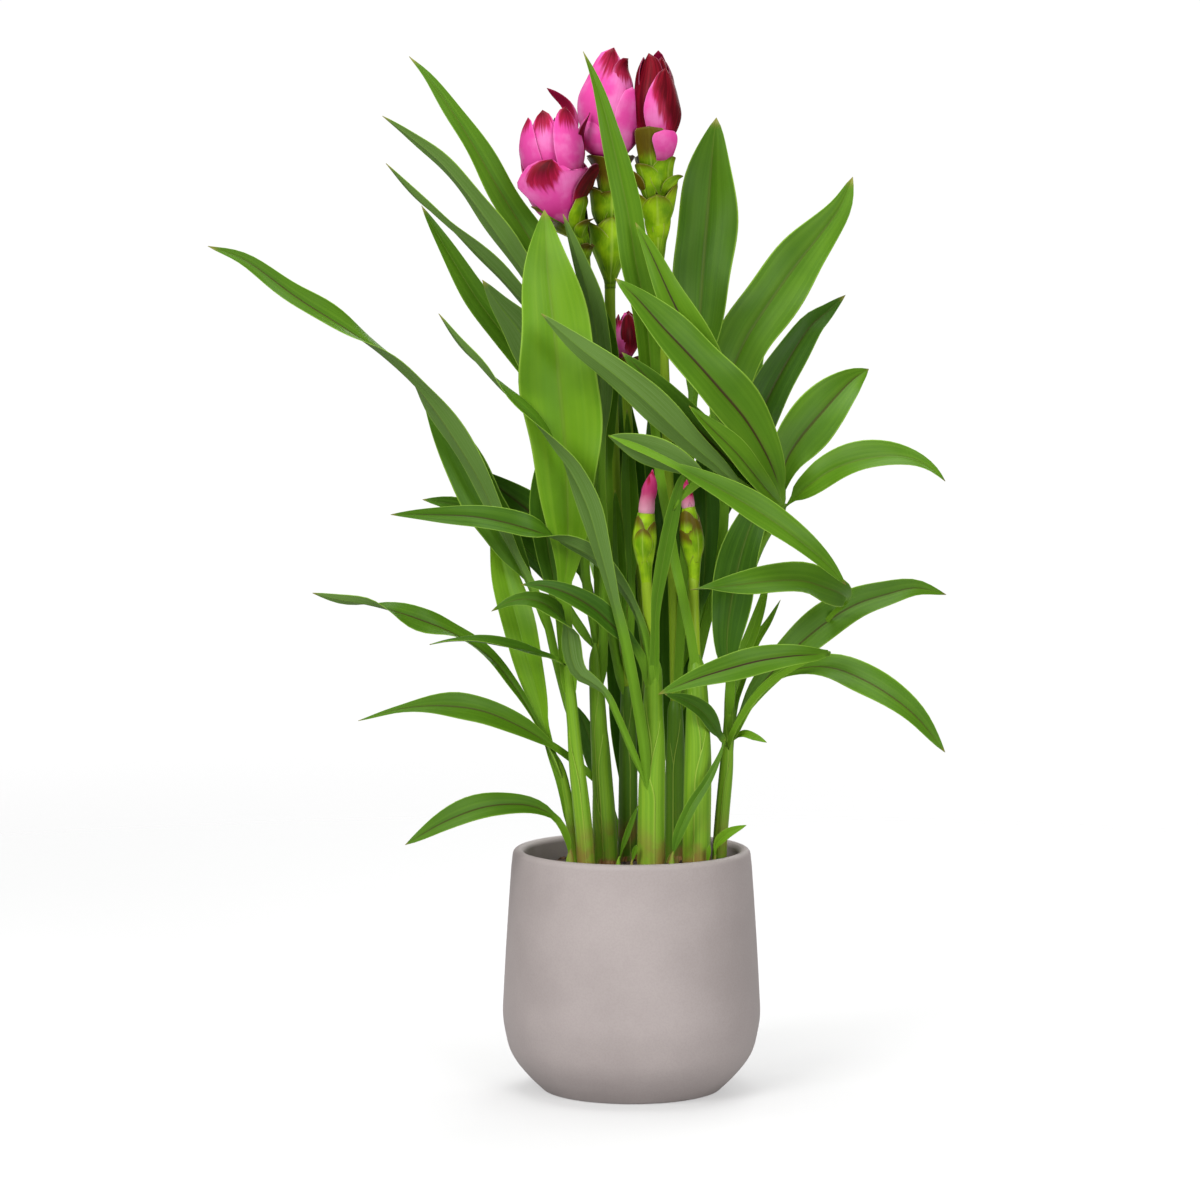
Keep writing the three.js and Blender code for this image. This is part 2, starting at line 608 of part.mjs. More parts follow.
        route: [[-3, 245, -20], [-14, 300, -45], [-26, 350, -65], [-36, 395, -88], [-42, 430, -110],
          [-45, 450, -130]],
      },
      // Dark leaves low between the stems.
      {
        half: 6.5, from: 0.3, stalk: 2.4,
        route: [[-3, 140, -19], [-12, 168, -27], [-20, 196, -33], [-28, 220, -35], [-34, 233, -35]],
      },
      {
        half: 11, from: 0.02, stalk: 2.8,
        route: [[-2, 160, -20], [-3, 210, -31], [-5, 260, -36], [-7, 310, -40], [-6, 350, -42]],
      },
    ],
  },
  shoot_back_right: {
    stem: [[26, 108, -18, 6], [26, 160, -18, 5.6], [26, 210, -18, 5], [26, 240, -18, 4.5]],
    flowerStalk: [[26, 234, -18, 3], [25, 290, -18, 3], [23, 340, -16, 3], [21, 390, -14, 3],
      [19, 440, -12, 3], [17, 480, -10, 3], [16, 505.6, -8, 3]],
    leaves: [
      // Broad upright leaf right of the blooms.
      {
        half: 18.5, from: 0.5, widest: 0.56,
        route: [[27, 230, -16], [29, 270, -16], [31, 310, -17], [33, 350, -18], [35, 390, -20],
          [37, 425, -22], [40, 460, -25], [42, 490, -29], [44, 516, -34], [46, 540, -40, 5],
          [48, 565, -48, 5], [50, 583, -56]],
      },
      // Broad leaf that leans to the upper right.
      {
        half: 17, from: 0.43,
        route: [[28, 225, -20], [38, 255, -16], [45, 283, -12], [51, 306, -10], [55, 342, -10],
          [55, 372, -14], [55, 402, -22], [59, 430, -34, 5], [68, 452, -38, 5], [82, 474, -42, 5],
          [97, 495, -48, 5], [112, 514, -54, 5], [124, 531, -60], [131, 548, -66]],
      },
      // Darker leaf under it.
      {
        half: 12, from: 0.4,
        route: [[26.5, 222, -20.5], [36, 250, -30], [43, 282, -32], [48, 318, -34], [54, 348, -36],
          [62, 372, -38], [69, 390, -40, 5], [78, 410, -44, 5], [90, 434, -50, 5],
          [105, 458, -58, 5], [116, 468, -66], [127, 478, -72]],
      },
      // Short leaf in the shade.
      {
        half: 10, from: 0.3,
        route: [[26, 246, -18.5], [41, 294, -26], [44, 330, -28], [44, 360, -30], [41, 390, -32]],
      },
      // Leaves that lean away to the back.
      {
        half: 15, from: 0.3, level: true,
        route: [[26.5, 240, -20], [36, 300, -44], [46, 350, -64], [58, 395, -86], [70, 430, -108],
          [80, 455, -128]],
      },
      {
        half: 11, from: 0.3, level: true,
        route: [[26.5, 220, -20.5], [32, 258, -50], [35, 290, -80], [37, 308, -112], [38, 312, -144],
          [39, 302, -170]],
      },
      // Dark leaf low between the stems.
      {
        half: 11, from: 0.02, stalk: 2.8,
        route: [[26, 165, -20], [27, 215, -32], [25, 262, -38], [24, 310, -40], [26, 350, -40]],
      },
    ],
  },
  shoot_far_back: {
    stem: [[10, 108, -39, 4.2], [10, 160, -39, 4], [10, 210, -40, 3.6], [10, 240, -40, 3.4]],
    flowerStalk: [[10, 232, -40, 2.8], [6, 300, -40, 2.8], [0, 370, -39, 2.8], [-4, 427.6, -38, 2.8]],
    leaves: [
      // Leaf behind the hidden bloom.
      {
        half: 13, from: 0.3,
        route: [[8, 240, -40], [5, 282, -42], [0, 318, -44], [-4, 354, -44], [-6, 384, -44],
          [-8, 414, -46], [-9, 440, -50]],
      },
      // Leaf beside it.
      {
        half: 12, from: 0.3,
        route: [[9.5, 250, -39.5], [20, 294, -44], [24, 342, -48], [22, 384, -50], [19, 414, -52]],
      },
      // Leaves that lean away to the back.
      {
        half: 14, from: 0.3, level: true,
        route: [[10, 240, -42], [14, 290, -62], [18, 335, -86], [22, 375, -112], [24, 400, -138],
          [25, 412, -160]],
      },
      {
        half: 12, from: 0.3, level: true,
        route: [[9, 215, -41], [0, 255, -66], [-8, 290, -94], [-14, 312, -124], [-18, 318, -154],
          [-20, 310, -178]],
      },
      // Dark leaf low in the middle.
      {
        half: 12, from: 0.02, stalk: 2.8,
        route: [[10, 160, -41], [11, 215, -50], [13, 270, -55], [14, 320, -58], [14, 365, -60]],
      },
    ],
  },
  low_leaf: {
    stem: [[-38, 108, 28, 2.8], [-37, 138, 28, 2.8], [-37, 146, 28.5, 2.6]],
    leaves: [
      {
        half: 8, from: 0.2, stalk: 2.2,
        route: [[-37, 139, 28, -20], [-39, 152, 30, -20], [-47, 165, 36, -25], [-63, 172, 44, -25],
          [-87, 171, 54, -25], [-112, 162, 62, -20], [-136, 148, 68, -15]],
      },
    ],
  },
  sprout_right_bright: {
    stem: [[49.5, 108, 34, 1.6], [50, 138, 34, 1.6], [50.5, 142, 34, 1.5]],
    leaves: [
      {
        half: 3, from: 0.05, stalk: 1.4,
        route: [[50, 138, 34], [51, 148, 35], [58, 155, 39], [69, 160, 43]],
      },
    ],
  },
  sprout_right_small: {
    stem: [[45, 108, 40, 1.4], [45, 134, 40, 1.4], [45, 138, 40, 1.3]],
    leaves: [
      {
        half: 2.2, from: 0.05, stalk: 1.2,
        route: [[45, 134, 40], [46, 141, 41], [47, 148, 42]],
      },
    ],
  },
  sprout_left: {
    stem: [[-8, 108, 34, 1.9], [-8, 136, 34, 1.9], [-7, 141, 34.5, 1.8]],
    leaves: [
      {
        half: 4.5, from: 0.05, stalk: 1.6,
        route: [[-8, 136, 34], [-5, 148, 36], [0, 162, 38], [4, 172, 40]],
      },
    ],
  },
  sprout_front: {
    stem: [[0, 108, 47, 1.7], [0, 135, 47, 1.7], [0.5, 139, 47, 1.6]],
    leaves: [
      {
        half: 4, from: 0.05, stalk: 1.5,
        route: [[0, 135, 47], [1, 141, 47], [3, 148, 48]],
      },
    ],
  },
  sprout_centre: {
    stem: [[23, 108, 48, 2], [24, 136, 48, 2], [25, 144, 48, 1.9]],
    leaves: [
      {
        half: 4.5, from: 0.02, widest: 0.35, stalk: 1.7,
        route: [[24, 138, 48], [28, 154, 48], [36, 172, 47], [45, 186, 45], [52, 200, 41], [56, 212, 37]],
      },
    ],
  },
};

// A bract is a pointed scale that stands out of the head's core on a broad base and leans away
// from the axis by the three angles given, at its base, middle and tip.
function bractSolid(head, { at, azimuth, length, half, lean }, spare = 0) {
  const { point, forward } = head.axis.at(at / head.axis.length);
  const out = new THREE.Vector3(Math.cos(radians(azimuth)), Math.sin(radians(azimuth)), 0);
  out.addScaledVector(forward, -forward.dot(out)).normalize();
  const middle = point.clone().addScaledVector(out, head.radiusAt(at) * BRACT_ROOT);
  const thickness = BRACT_THICKNESS + 2 * spare;
  const rings = [];
  for (let i = 0; i <= BRACT_STEPS; i += 1) {
    const u = i / BRACT_STEPS;
    const angle = radians(u < 0.5
      ? THREE.MathUtils.lerp(lean[0], lean[1], u * 2)
      : THREE.MathUtils.lerp(lean[1], lean[2], u * 2 - 1));
    const way = out.clone().multiplyScalar(Math.sin(angle)).addScaledVector(forward, Math.cos(angle));
    const face = forward.clone().multiplyScalar(Math.sin(angle)).addScaledVector(out, -Math.cos(angle));
    const side = way.clone().cross(face);
    if (i > 0) middle.addScaledVector(way, (length + spare) / BRACT_STEPS);
    const wide = half * Math.sin(Math.PI * (0.1 + 0.9 * u)) ** 0.8;
    const cup = 0.38;
    const frame = { point: middle.clone(), side, face };
    rings.push(section(frame, Math.max(wide, TIP_HALF) + spare, thickness, thickness, cup));
  }
  return loft(rings);
}

// A whorl is a ring of like bracts at one height.
function whorl({ count, turn = 0, ...bract }) {
  return Array.from({ length: count }, (_, k) => ({ ...bract, azimuth: turn + k * 360 / count }));
}

// A head is the green spike or the pink top of a bloom: a slim core, given by its radius at a
// few heights along the axis, and the whorls of bracts that hide it.
class Head {
  constructor(axis, { core, bracts }) {
    this.axis = axis;
    this.core = core;
    this.bracts = bracts.flatMap(whorl);
  }

  radiusAt(at) {
    const row = Math.max(1, this.core.findIndex(([height]) => height >= at));
    const [low, high] = [this.core[row - 1], this.core[row]];
    const share = THREE.MathUtils.clamp((at - low[0]) / (high[0] - low[0]), 0, 1);
    return THREE.MathUtils.lerp(low[1], high[1], share);
  }

  coreSolid(spare) {
    const rings = this.core.map(([height, radius], row) => {
      const ends = row === 0 ? -spare : (row === this.core.length - 1 ? spare : 0);
      const { point, forward, side, face } = this.axis.at(height / this.axis.length);
      point.addScaledVector(forward, ends);
      return Array.from({ length: CORE_SIDES }, (_, k) => {
        const angle = -k * 2 * Math.PI / CORE_SIDES;
        const out = side.clone().multiplyScalar(Math.cos(angle)).addScaledVector(face, Math.sin(angle));
        return point.clone().addScaledVector(out, radius + spare);
      });
    });
    return loft(rings);
  }

  solid(spare = 0) {
    return joined([this.coreSolid(spare), ...this.bracts.map((bract) => bractSolid(this, bract, spare))]);
  }
}

const BLOOMS = {
  bloom_left: {
    axis: [[-28, 507, 5], [-29, 512, 5], [-34, 521, 5], [-42, 535, 5], [-47, 555, 5], [-49, 594, 5]],
    green: {
      core: [[0, 3.2], [8, 5], [17, 4]],
      bracts: [
        { count: 2, turn: -70, at: 2, length: 13, half: 6, lean: [60, 25, 40] },
        { count: 3, turn: -50, at: 8, length: 19, half: 8, lean: [65, 50, 90] },
      ],
    },
    pink: {
      core: [[17.5, 3.5], [25, 9], [42, 11], [60, 8], [74, 2]],
      bracts: [
        { count: 3, turn: -105, at: 21, length: 43, half: 15, lean: [85, 32, -2] },
        { count: 3, turn: -165, at: 34, length: 40, half: 13, lean: [62, 16, -6] },
        { count: 3, turn: -110, at: 51, length: 32, half: 8, lean: [32, 10, 0] },
      ],
    },
  },
  bloom_middle: {
    axis: [[-13, 492, -13], [-13, 530, -13], [-13, 561, -13], [-14, 618, -13]],
    green: {
      core: [[0, 3.4], [14, 6.5], [45, 6.5], [63, 3.5]],
      bracts: [
        { count: 3, turn: -75, at: 6, length: 30, half: 9, lean: [26, 14, 22] },
        { count: 3, turn: -45, at: 32, length: 30, half: 9, lean: [36, 16, 22] },
      ],
    },
    pink: {
      core: [[63.5, 3.2], [72, 9], [92, 9.5], [108, 6], [122, 1.5]],
      bracts: [
        { count: 3, turn: -125, at: 68, length: 48, half: 14, lean: [70, 10, -12] },
        { count: 3, turn: -65, at: 86, length: 43, half: 10.5, lean: [40, 6, -8] },
      ],
    },
  },
  bloom_right: {
    axis: [[15.5, 506, -8], [15, 530, -8], [13.5, 558, -8], [13.5, 622, -8]],
    green: {
      core: [[0, 3.2], [12, 6.5], [36, 6.5], [52, 3.5]],
      bracts: [
        { count: 3, turn: -110, at: 4, length: 29, half: 10.5, lean: [34, 18, 16] },
        { count: 3, turn: -50, at: 25, length: 28, half: 10, lean: [42, 18, 34] },
      ],
    },
    pink: {
      core: [[52.5, 3], [62, 7.5], [84, 7.5], [100, 4.5], [112, 1.5]],
      bracts: [
        { count: 3, turn: -130, at: 56, length: 46, half: 11, lean: [46, 6, -9] },
        { count: 3, turn: -75, at: 74, length: 42, half: 8, lean: [20, 3, -5] },
      ],
    },
  },
  bloom_hidden: {
    axis: [[-4, 428, -38], [-4, 444, -38], [-4, 470, -38]],
    green: {
      core: [[0, 3], [6, 4.6], [12, 3.4]],
      bracts: [{ count: 3, turn: -90, at: 3, length: 13, half: 6.5, lean: [50, 26, 30] }],
    },
    pink: {
      core: [[12.5, 3], [19, 6.5], [30, 4.5], [40, 1]],
      bracts: [{ count: 3, turn: -80, at: 15, length: 29, half: 9.5, lean: [46, 10, -5] }],
    },
  },
};

// Closed buds: a green body and a twisted pink tip, with rows like a stem's.
const BUDS = {
  bud_centre: {
    green: [[8.4, 312, 40, 3.2], [7.8, 319, 40, 4.2], [7.5, 326, 40, 5.7], [7.7, 334, 40, 6.5],
      [8.5, 347, 40, 5.2]],
    pink: [[8.6, 347.4, 40, 4.8], [9.1, 354, 40, 4.8], [10.6, 363, 40, 3.2], [12.5, 373.5, 40, 0.5]],
  },
  bud_right: {
    green: [[37.5, 312, 18, 3.5], [37, 321, 18, 4.8], [36.2, 330, 18, 6.3], [35, 340, 18, 6],
      [33.8, 351.6, 18, 4.2]],
    pink: [[33.8, 352, 18, 3.7], [33.6, 356, 18, 3.1], [33.6, 361, 18, 2.3], [33.8, 367, 18, 0.5]],
  },
};

function plantNodes() {
  const nodes = [];
  for (const [name, { stem, flowerStalk, leaves }] of Object.entries(SHOOTS)) {
    const solids = [stemSolid(stem), ...leaves.map(leafSolid)];
    if (flowerStalk) solids.push(stemSolid(flowerStalk));
    nodes.push(meshOf(name, joined(solids), 'leaf'));
  }
  return nodes;
}

function bloomNodes() {
  const nodes = [];
  for (const [name, bloom] of Object.entries(BLOOMS)) {
    const axis = new Route(bloom.axis);
    const spike = new Head(axis, bloom.green);
    const coma = new Head(axis, bloom.pink);
    nodes.push(meshOf(`${name}_spike`, spike.solid(), 'bract'));
    nodes.push(meshOf(`${name}_coma`, coma.solid().subtract(spike.solid(GAP)), 'petal'));
  }
  for (const [name, bud] of Object.entries(BUDS)) {
    nodes.push(meshOf(`${name}_green`, stemSolid(bud.green), 'bract'));
    nodes.push(meshOf(`${name}_pink`, stemSolid(bud.pink), 'petal'));
  }
  return nodes;
}

// Every shoot stands in a plain hole of its own in the soil.
function soil() {
  const feet = Object.values(SHOOTS).map(({ stem }) => stemSolid(stem, GAP));
  return soilBody().subtract(joined(feet));
}

const plant = new THREE.Group();
plant.add(meshOf('pot', pot(), 'pot'));
plant.add(meshOf('soil', soil(), 'soil'));
plant.add(...plantNodes());
plant.add(...bloomNodes());

export default plant;
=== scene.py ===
# A potted curcuma: leafy shoots with long pointed leaves and tall pink heads in a round ceramic
# pot, dressed over the CAD frame. Given places are in millimetres, and meshes in metres.

import bisect
import math
import random

import bmesh
import bpy
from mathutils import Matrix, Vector, noise


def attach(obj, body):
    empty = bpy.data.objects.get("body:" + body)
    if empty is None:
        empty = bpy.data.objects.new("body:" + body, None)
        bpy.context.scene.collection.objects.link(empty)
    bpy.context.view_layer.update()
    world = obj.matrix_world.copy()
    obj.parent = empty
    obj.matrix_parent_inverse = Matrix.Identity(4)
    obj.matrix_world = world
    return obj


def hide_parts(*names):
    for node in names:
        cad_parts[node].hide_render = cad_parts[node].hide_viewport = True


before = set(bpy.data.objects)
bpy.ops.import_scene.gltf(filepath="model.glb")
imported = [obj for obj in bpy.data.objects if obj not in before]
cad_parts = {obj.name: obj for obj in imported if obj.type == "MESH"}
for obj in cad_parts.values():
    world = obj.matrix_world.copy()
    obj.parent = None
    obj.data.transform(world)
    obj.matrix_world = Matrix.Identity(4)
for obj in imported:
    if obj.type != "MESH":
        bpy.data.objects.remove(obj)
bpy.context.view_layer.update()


# The studio: a round white floor that fades into a white ground, two broad soft lights in front,
# one above and a weak one behind. The camera stands three metres in front of the plant.

MM = 0.001
VIEWPOINT = Vector((-19, -3000, 583))
AIM = Vector((-19, 0, 295.8))
PICTURE_WIDTH = 717.8
SENSOR_WIDTH = 36
SKY_SEEN = 1.02
SKY_LIGHT = 0.3
FLOOR_WHITE = 0.76
FLOOR_RADIUS = 2.2
FLOOR_FADE = (0.5, 1.9)
FLOOR_CLEAR = 0.42

scene = bpy.context.scene
scene.view_settings.view_transform = "Standard"

lens = bpy.data.cameras.new("camera")
lens.sensor_width = SENSOR_WIDTH
lens.lens = SENSOR_WIDTH * (VIEWPOINT - AIM).length / PICTURE_WIDTH
lens.clip_end = 50
camera = bpy.data.objects.new("camera", lens)
camera.location = VIEWPOINT * MM
camera.rotation_euler = (AIM - VIEWPOINT).to_track_quat("-Z", "Y").to_euler()
scene.collection.objects.link(camera)
scene.camera = camera


def white_sky():
    """A ground that is seen white, and lights the plant more weakly."""
    world = bpy.data.worlds.new("white_sky")
    world.use_nodes = True
    nodes = world.node_tree.nodes
    ray = nodes.new("ShaderNodeLightPath")
    strength = nodes.new("ShaderNodeMapRange")
    strength.inputs["To Min"].default_value = SKY_LIGHT
    strength.inputs["To Max"].default_value = SKY_SEEN
    world.node_tree.links.new(ray.outputs["Is Camera Ray"], strength.inputs["Value"])
    world.node_tree.links.new(strength.outputs[0], nodes["Background"].inputs["Strength"])
    nodes["Background"].inputs["Color"].default_value = (1, 1, 1, 1)
    return world


scene.world = white_sky()


def softbox(name, place, width, power):
    """A square area light at a place in metres, turned to the plant's middle."""
    data = bpy.data.lights.new(name, "AREA")
    data.size = width
    data.energy = power
    light = bpy.data.objects.new(name, data)
    light.location = place
    light.rotation_euler = (AIM * MM - Vector(place)).to_track_quat("-Z", "Y").to_euler()
    scene.collection.objects.link(light)


softbox("front_left", (-1.5, -2.2, 1.7), 1.3, 62)
softbox("front_right", (1.3, -2.4, 1.1), 1.1, 34)
softbox("above", (-0.1, 0.15, 2.3), 1.5, 42)
softbox("behind", (0.8, 1.8, 1.4), 1.2, 14)


def floor_paint():
    """White paint that is half clear, and turns clear away from the plant, on a white ground."""
    paint = bpy.data.materials.new("floor_white")
    paint.use_nodes = True
    tree = paint.node_tree
    shader = tree.nodes["Principled BSDF"]
    shader.inputs["Base Color"].default_value = (FLOOR_WHITE, FLOOR_WHITE, FLOOR_WHITE, 1)
    shader.inputs["Roughness"].default_value = 0.6
    place = tree.nodes.new("ShaderNodeTexCoord")
    away = tree.nodes.new("ShaderNodeVectorMath")
    away.operation = "LENGTH"
    fade = tree.nodes.new("ShaderNodeMapRange")
    fade.interpolation_type = "SMOOTHSTEP"
    fade.inputs["From Min"].default_value = FLOOR_FADE[0]
    fade.inputs["From Max"].default_value = FLOOR_FADE[1]
    fade.inputs["To Min"].default_value = FLOOR_CLEAR
    clear = tree.nodes.new("ShaderNodeBsdfTransparent")
    both = tree.nodes.new("ShaderNodeMixShader")
    tree.links.new(place.outputs["Object"], away.inputs[0])
    tree.links.new(away.outputs["Value"], fade.inputs["Value"])
    tree.links.new(fade.outputs[0], both.inputs[0])
    tree.links.new(shader.outputs[0], both.inputs[1])
    tree.links.new(clear.outputs[0], both.inputs[2])
    tree.links.new(both.outputs[0], tree.nodes["Material Output"].inputs["Surface"])
    return paint


def sheet_of_floor():
    bm = bmesh.new()
    bmesh.ops.create_circle(bm, cap_ends=True, segments=64, radius=FLOOR_RADIUS)
    mesh = bpy.data.meshes.new("floor")
    bm.to_mesh(mesh)
    bm.free()
    mesh.materials.append(floor_paint())
    floor = bpy.data.objects.new("floor", mesh)
    scene.collection.objects.link(floor)


sheet_of_floor()


# The pot: cast ceramic with a matt taupe glaze, turned in one piece. A slanted foot runs up into
# a round belly, the wall tapers a little up to a thick rounded rim, and it is glazed inside too.

POT_HEIGHT = 146
POT_BELLY_RADIUS = 77.5
POT_BELLY_HEIGHT = 46
POT_RIM_RADIUS = 71.5
POT_WALL = 7
POT_FLOOR = 8
POT_TAPER = 1.25
POT_STEP = 2.5
POT_STEPS = 160


class Line:
    """A smooth line through given rows of x, y, z and a fourth number, measured by length."""

    SAMPLES = 24

    def __init__(self, rows):
        rows = [Vector(row) for row in rows]
        self.spans = len(rows) - 1
        self.rows = [rows[0] * 2 - rows[1], *rows, rows[-1] * 2 - rows[-2]]
        count = self.spans * self.SAMPLES
        self.shares = [i / count for i in range(count + 1)]
        places = [self.place(share)[0].to_3d() for share in self.shares]
        self.lengths = [0.0]
        for i in range(count):
            self.lengths.append(self.lengths[-1] + (places[i + 1] - places[i]).length)
        self.length = self.lengths[-1]

    def place(self, share):
        """The row and its rate of change at a share of the rows."""
        span = min(int(share * self.spans), self.spans - 1)
        s = share * self.spans - span
        before, first, last, after = self.rows[span:span + 4]
        leave = (last - before) / 2
        arrive = (after - first) / 2
        row = (first * (2 * s ** 3 - 3 * s ** 2 + 1) + leave * (s ** 3 - 2 * s ** 2 + s)
               + last * (3 * s ** 2 - 2 * s ** 3) + arrive * (s ** 3 - s ** 2))
        rate = (first * (6 * s ** 2 - 6 * s) + leave * (3 * s ** 2 - 4 * s + 1)
                + last * (6 * s - 6 * s ** 2) + arrive * (3 * s ** 2 - 2 * s))
        return row, rate

    def at(self, u):
        """Point, way on and fourth number at a share of the length."""
        wanted = min(max(u, 0.0), 1.0) * self.length
        i = min(bisect.bisect_right(self.lengths, wanted), len(self.lengths) - 1)
        low, high = self.lengths[i - 1], self.lengths[i]
        part = (wanted - low) / (high - low) if high > low else 0.0
        share = self.shares[i - 1] + part * (self.shares[i] - self.shares[i - 1])
        row, rate = self.place(share)
        return row.to_3d(), rate.to_3d().normalized(), row.w


def blend(low, high, share):
    return low + (high - low) * share


def ease(value, low, high):
    """0 below low, 1 above high, and a smooth step between."""
    share = min(max((value - low) / (high - low), 0.0), 1.0)
    return share * share * (3 - 2 * share)


def tint(red, green, blue):
    """A colour given as seen, from 0 to 255, as the linear one that a shader takes."""
    channels = [value / 255 for value in (red, green, blue)]
    linear = [c / 12.92 if c <= 0.04045 else ((c + 0.055) / 1.055) ** 2.4 for c in channels]
    return (*linear, 1)


class Finish:
    """A material in the making, with short calls that add its nodes."""

    def __init__(self, name, **sockets):
        self.look = None
        self.material = bpy.data.materials.new(name)
        self.material.use_nodes = True
        self.tree = self.material.node_tree
        self.shader = self.tree.nodes["Principled BSDF"]
        for socket, value in sockets.items():
            self.shader.inputs[socket.replace("_", " ")].default_value = value

    def node(self, kind, inputs=(), **settings):
        node = self.tree.nodes.new("ShaderNode" + kind)
        for setting, value in settings.items():
            setattr(node, setting, value)
        for socket, value in dict(inputs).items():
            self.feed(node.inputs[socket], value)
        return node

    def feed(self, socket, value):
        if isinstance(value, bpy.types.NodeSocket):
            self.tree.links.new(value, socket)
        else:
            socket.default_value = value

    def math(self, operation, first, second=0.0):
        return self.node("Math", {0: first, 1: second}, operation=operation).outputs[0]

    def times(self, first, second):
        return self.math("MULTIPLY", first, second)

    def step(self, value, low, high, start=0.0, end=1.0):
        """start where value is below low, end where it is above high, and smooth between."""
        inputs = {"Value": value, "From Min": low, "From Max": high, "To Min": start, "To Max": end}
        return self.node("MapRange", inputs, interpolation_type="SMOOTHSTEP").outputs[0]

    def mix(self, share, first, second):
        return self.node("Mix", {0: share, 6: first, 7: second}, data_type="RGBA").outputs[2]

    def noise(self, place, scale, detail=3.0, roughness=0.5):
        inputs = {"Vector": place, "Scale": scale, "Detail": detail, "Roughness": roughness}
        return self.node("TexNoise", inputs).outputs["Fac"]

    def grain(self, x, x_scale, y, y_scale, detail, seed=0.0):
        """Noise over two numbers of the piece, which draws it out into streaks."""
        inputs = {0: self.times(x, x_scale), 1: self.times(y, y_scale), 2: seed}
        return self.noise(self.node("CombineXYZ", inputs).outputs[0], 1, detail)

    def attribute(self, name):
        return self.node("Attribute", attribute_name=name).outputs["Fac"]

    def coordinates(self):
        """The point in the object's own space."""
        return self.node("TexCoord").outputs["Object"]

    def bump(self, height, strength, distance):
        inputs = {"Height": height, "Strength": strength, "Distance": distance * MM}
        normal = self.node("Bump", inputs).outputs[0]
        self.feed(self.shader.inputs["Normal"], normal)
        return normal

    def cover(self, share, *seen_as):
        """Lays a colour, given as seen, over the look so far."""
        self.look = self.mix(share, self.look, tint(*seen_as))

    def wear(self):
        """Gives the shader the look."""
        self.feed(self.shader.inputs["Base Color"], self.look)

    def glow(self, share, colour, normal):
        """Lets a share of the light through the piece, in a colour."""
        through = self.node("BsdfTranslucent", {"Color": colour, "Normal": normal})
        both = self.node("MixShader", {0: share, 1: self.shader.outputs[0], 2: through.outputs[0]})
        self.feed(self.tree.nodes["Material Output"].inputs["Surface"], both.outputs[0])


def finish_piece(name, bm, material, slot, *nodes):
    """Makes the mesh in the making a piece that rides on the plant's one body."""
    bmesh.ops.holes_fill(bm, edges=[edge for edge in bm.edges if edge.is_boundary])
    bmesh.ops.recalc_face_normals(bm, faces=bm.faces)
    for face in bm.faces:
        face.smooth = True
    mesh = bpy.data.meshes.new(name)
    bm.to_mesh(mesh)
    bm.free()
    mesh.materials.append(material)
    piece = bpy.data.objects.new(name, mesh)
    scene.collection.objects.link(piece)
    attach(piece, "root")
    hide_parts(*nodes)


def turned(profile, steps):
    """A closed body turned from a profile of radius and height that starts and ends on the axis."""
    bm = bmesh.new()
    points = [bm.verts.new((radius * MM, 0, height * MM)) for radius, height in profile]
    edges = [bm.edges.new(pair) for pair in zip(points, points[1:])]
    bmesh.ops.spin(bm, geom=[*points, *edges], axis=(0, 0, 1), cent=(0, 0, 0),
                   angle=math.tau, steps=steps, use_merge=True)
    bmesh.ops.remove_doubles(bm, verts=bm.verts, dist=1e-6)
    return bm


def wall_radius(height):
    """Radius of the pot's outside from the belly up, a shallow taper that quickens to the rim."""
    share = (height - POT_BELLY_HEIGHT) / (POT_HEIGHT - POT_BELLY_HEIGHT)
    return blend(POT_BELLY_RADIUS, POT_RIM_RADIUS, max(share, 0.0) ** POT_TAPER)


def pot_profile():
    foot = [(0, 0), (30, 0), (50, 0), (52.2, 0.25), (53.6, 0.75)]
    flank = [(54.6, 1.6), (60.5, 7.2), (65.4, 12.6), (69.9, 18.4), (73.6, 25.4), (76, 35)]
    wall = [(wall_radius(height), height) for height in (46, 60, 80, 100, 120, 136)]
    side = Line([(*place, 0, 0) for place in [*flank, *wall]])
    count = round(side.length / POT_STEP)
    outside = [tuple(side.at(i / count)[0].xy) for i in range(count + 1)]
    lip = POT_WALL / 2
    rim = []
    for angle in range(0, 181, 15):
        out = math.cos(math.radians(angle)) * lip
        rise = math.sin(math.radians(angle)) * lip
        rim.append((POT_RIM_RADIUS - lip + out, POT_HEIGHT - lip + rise))
    inside = [(wall_radius(height) - POT_WALL, height) for height in (134, 120, 90, 60, 40)]
    floor = [(62, 22), (58, 13), (50, POT_FLOOR), (25, POT_FLOOR), (0, POT_FLOOR)]
    return [*foot, *outside, *rim, *inside, *floor]


def pot_finish():
    glaze = Finish("pot_taupe_glaze", Roughness=0.6)
    place = glaze.coordinates()
    cloud = glaze.noise(place, 18, 4, 0.55)
    speck = glaze.noise(place, 900, 2)
    glaze.look = glaze.mix(glaze.step(cloud, 0.3, 0.7), tint(157, 147, 145), tint(166, 156, 154))
    glaze.cover(glaze.step(speck, 0.35, 0.7, 0, 0.12), 124, 114, 108)
    glaze.wear()
    glaze.feed(glaze.shader.inputs["Roughness"], glaze.step(cloud, 0.3, 0.7, 0.56, 0.68))
    glaze.bump(glaze.mix(0.6, speck, cloud), 0.25, 0.15)
    return glaze.material


finish_piece("ceramic_pot", turned(pot_profile(), POT_STEPS), pot_finish(), "pot", "pot")


# The soil: dark crumbly potting soil that fills the pot to just under its rim, rough on top, with
# loose crumbs and bits of bark lying on it between the stems.

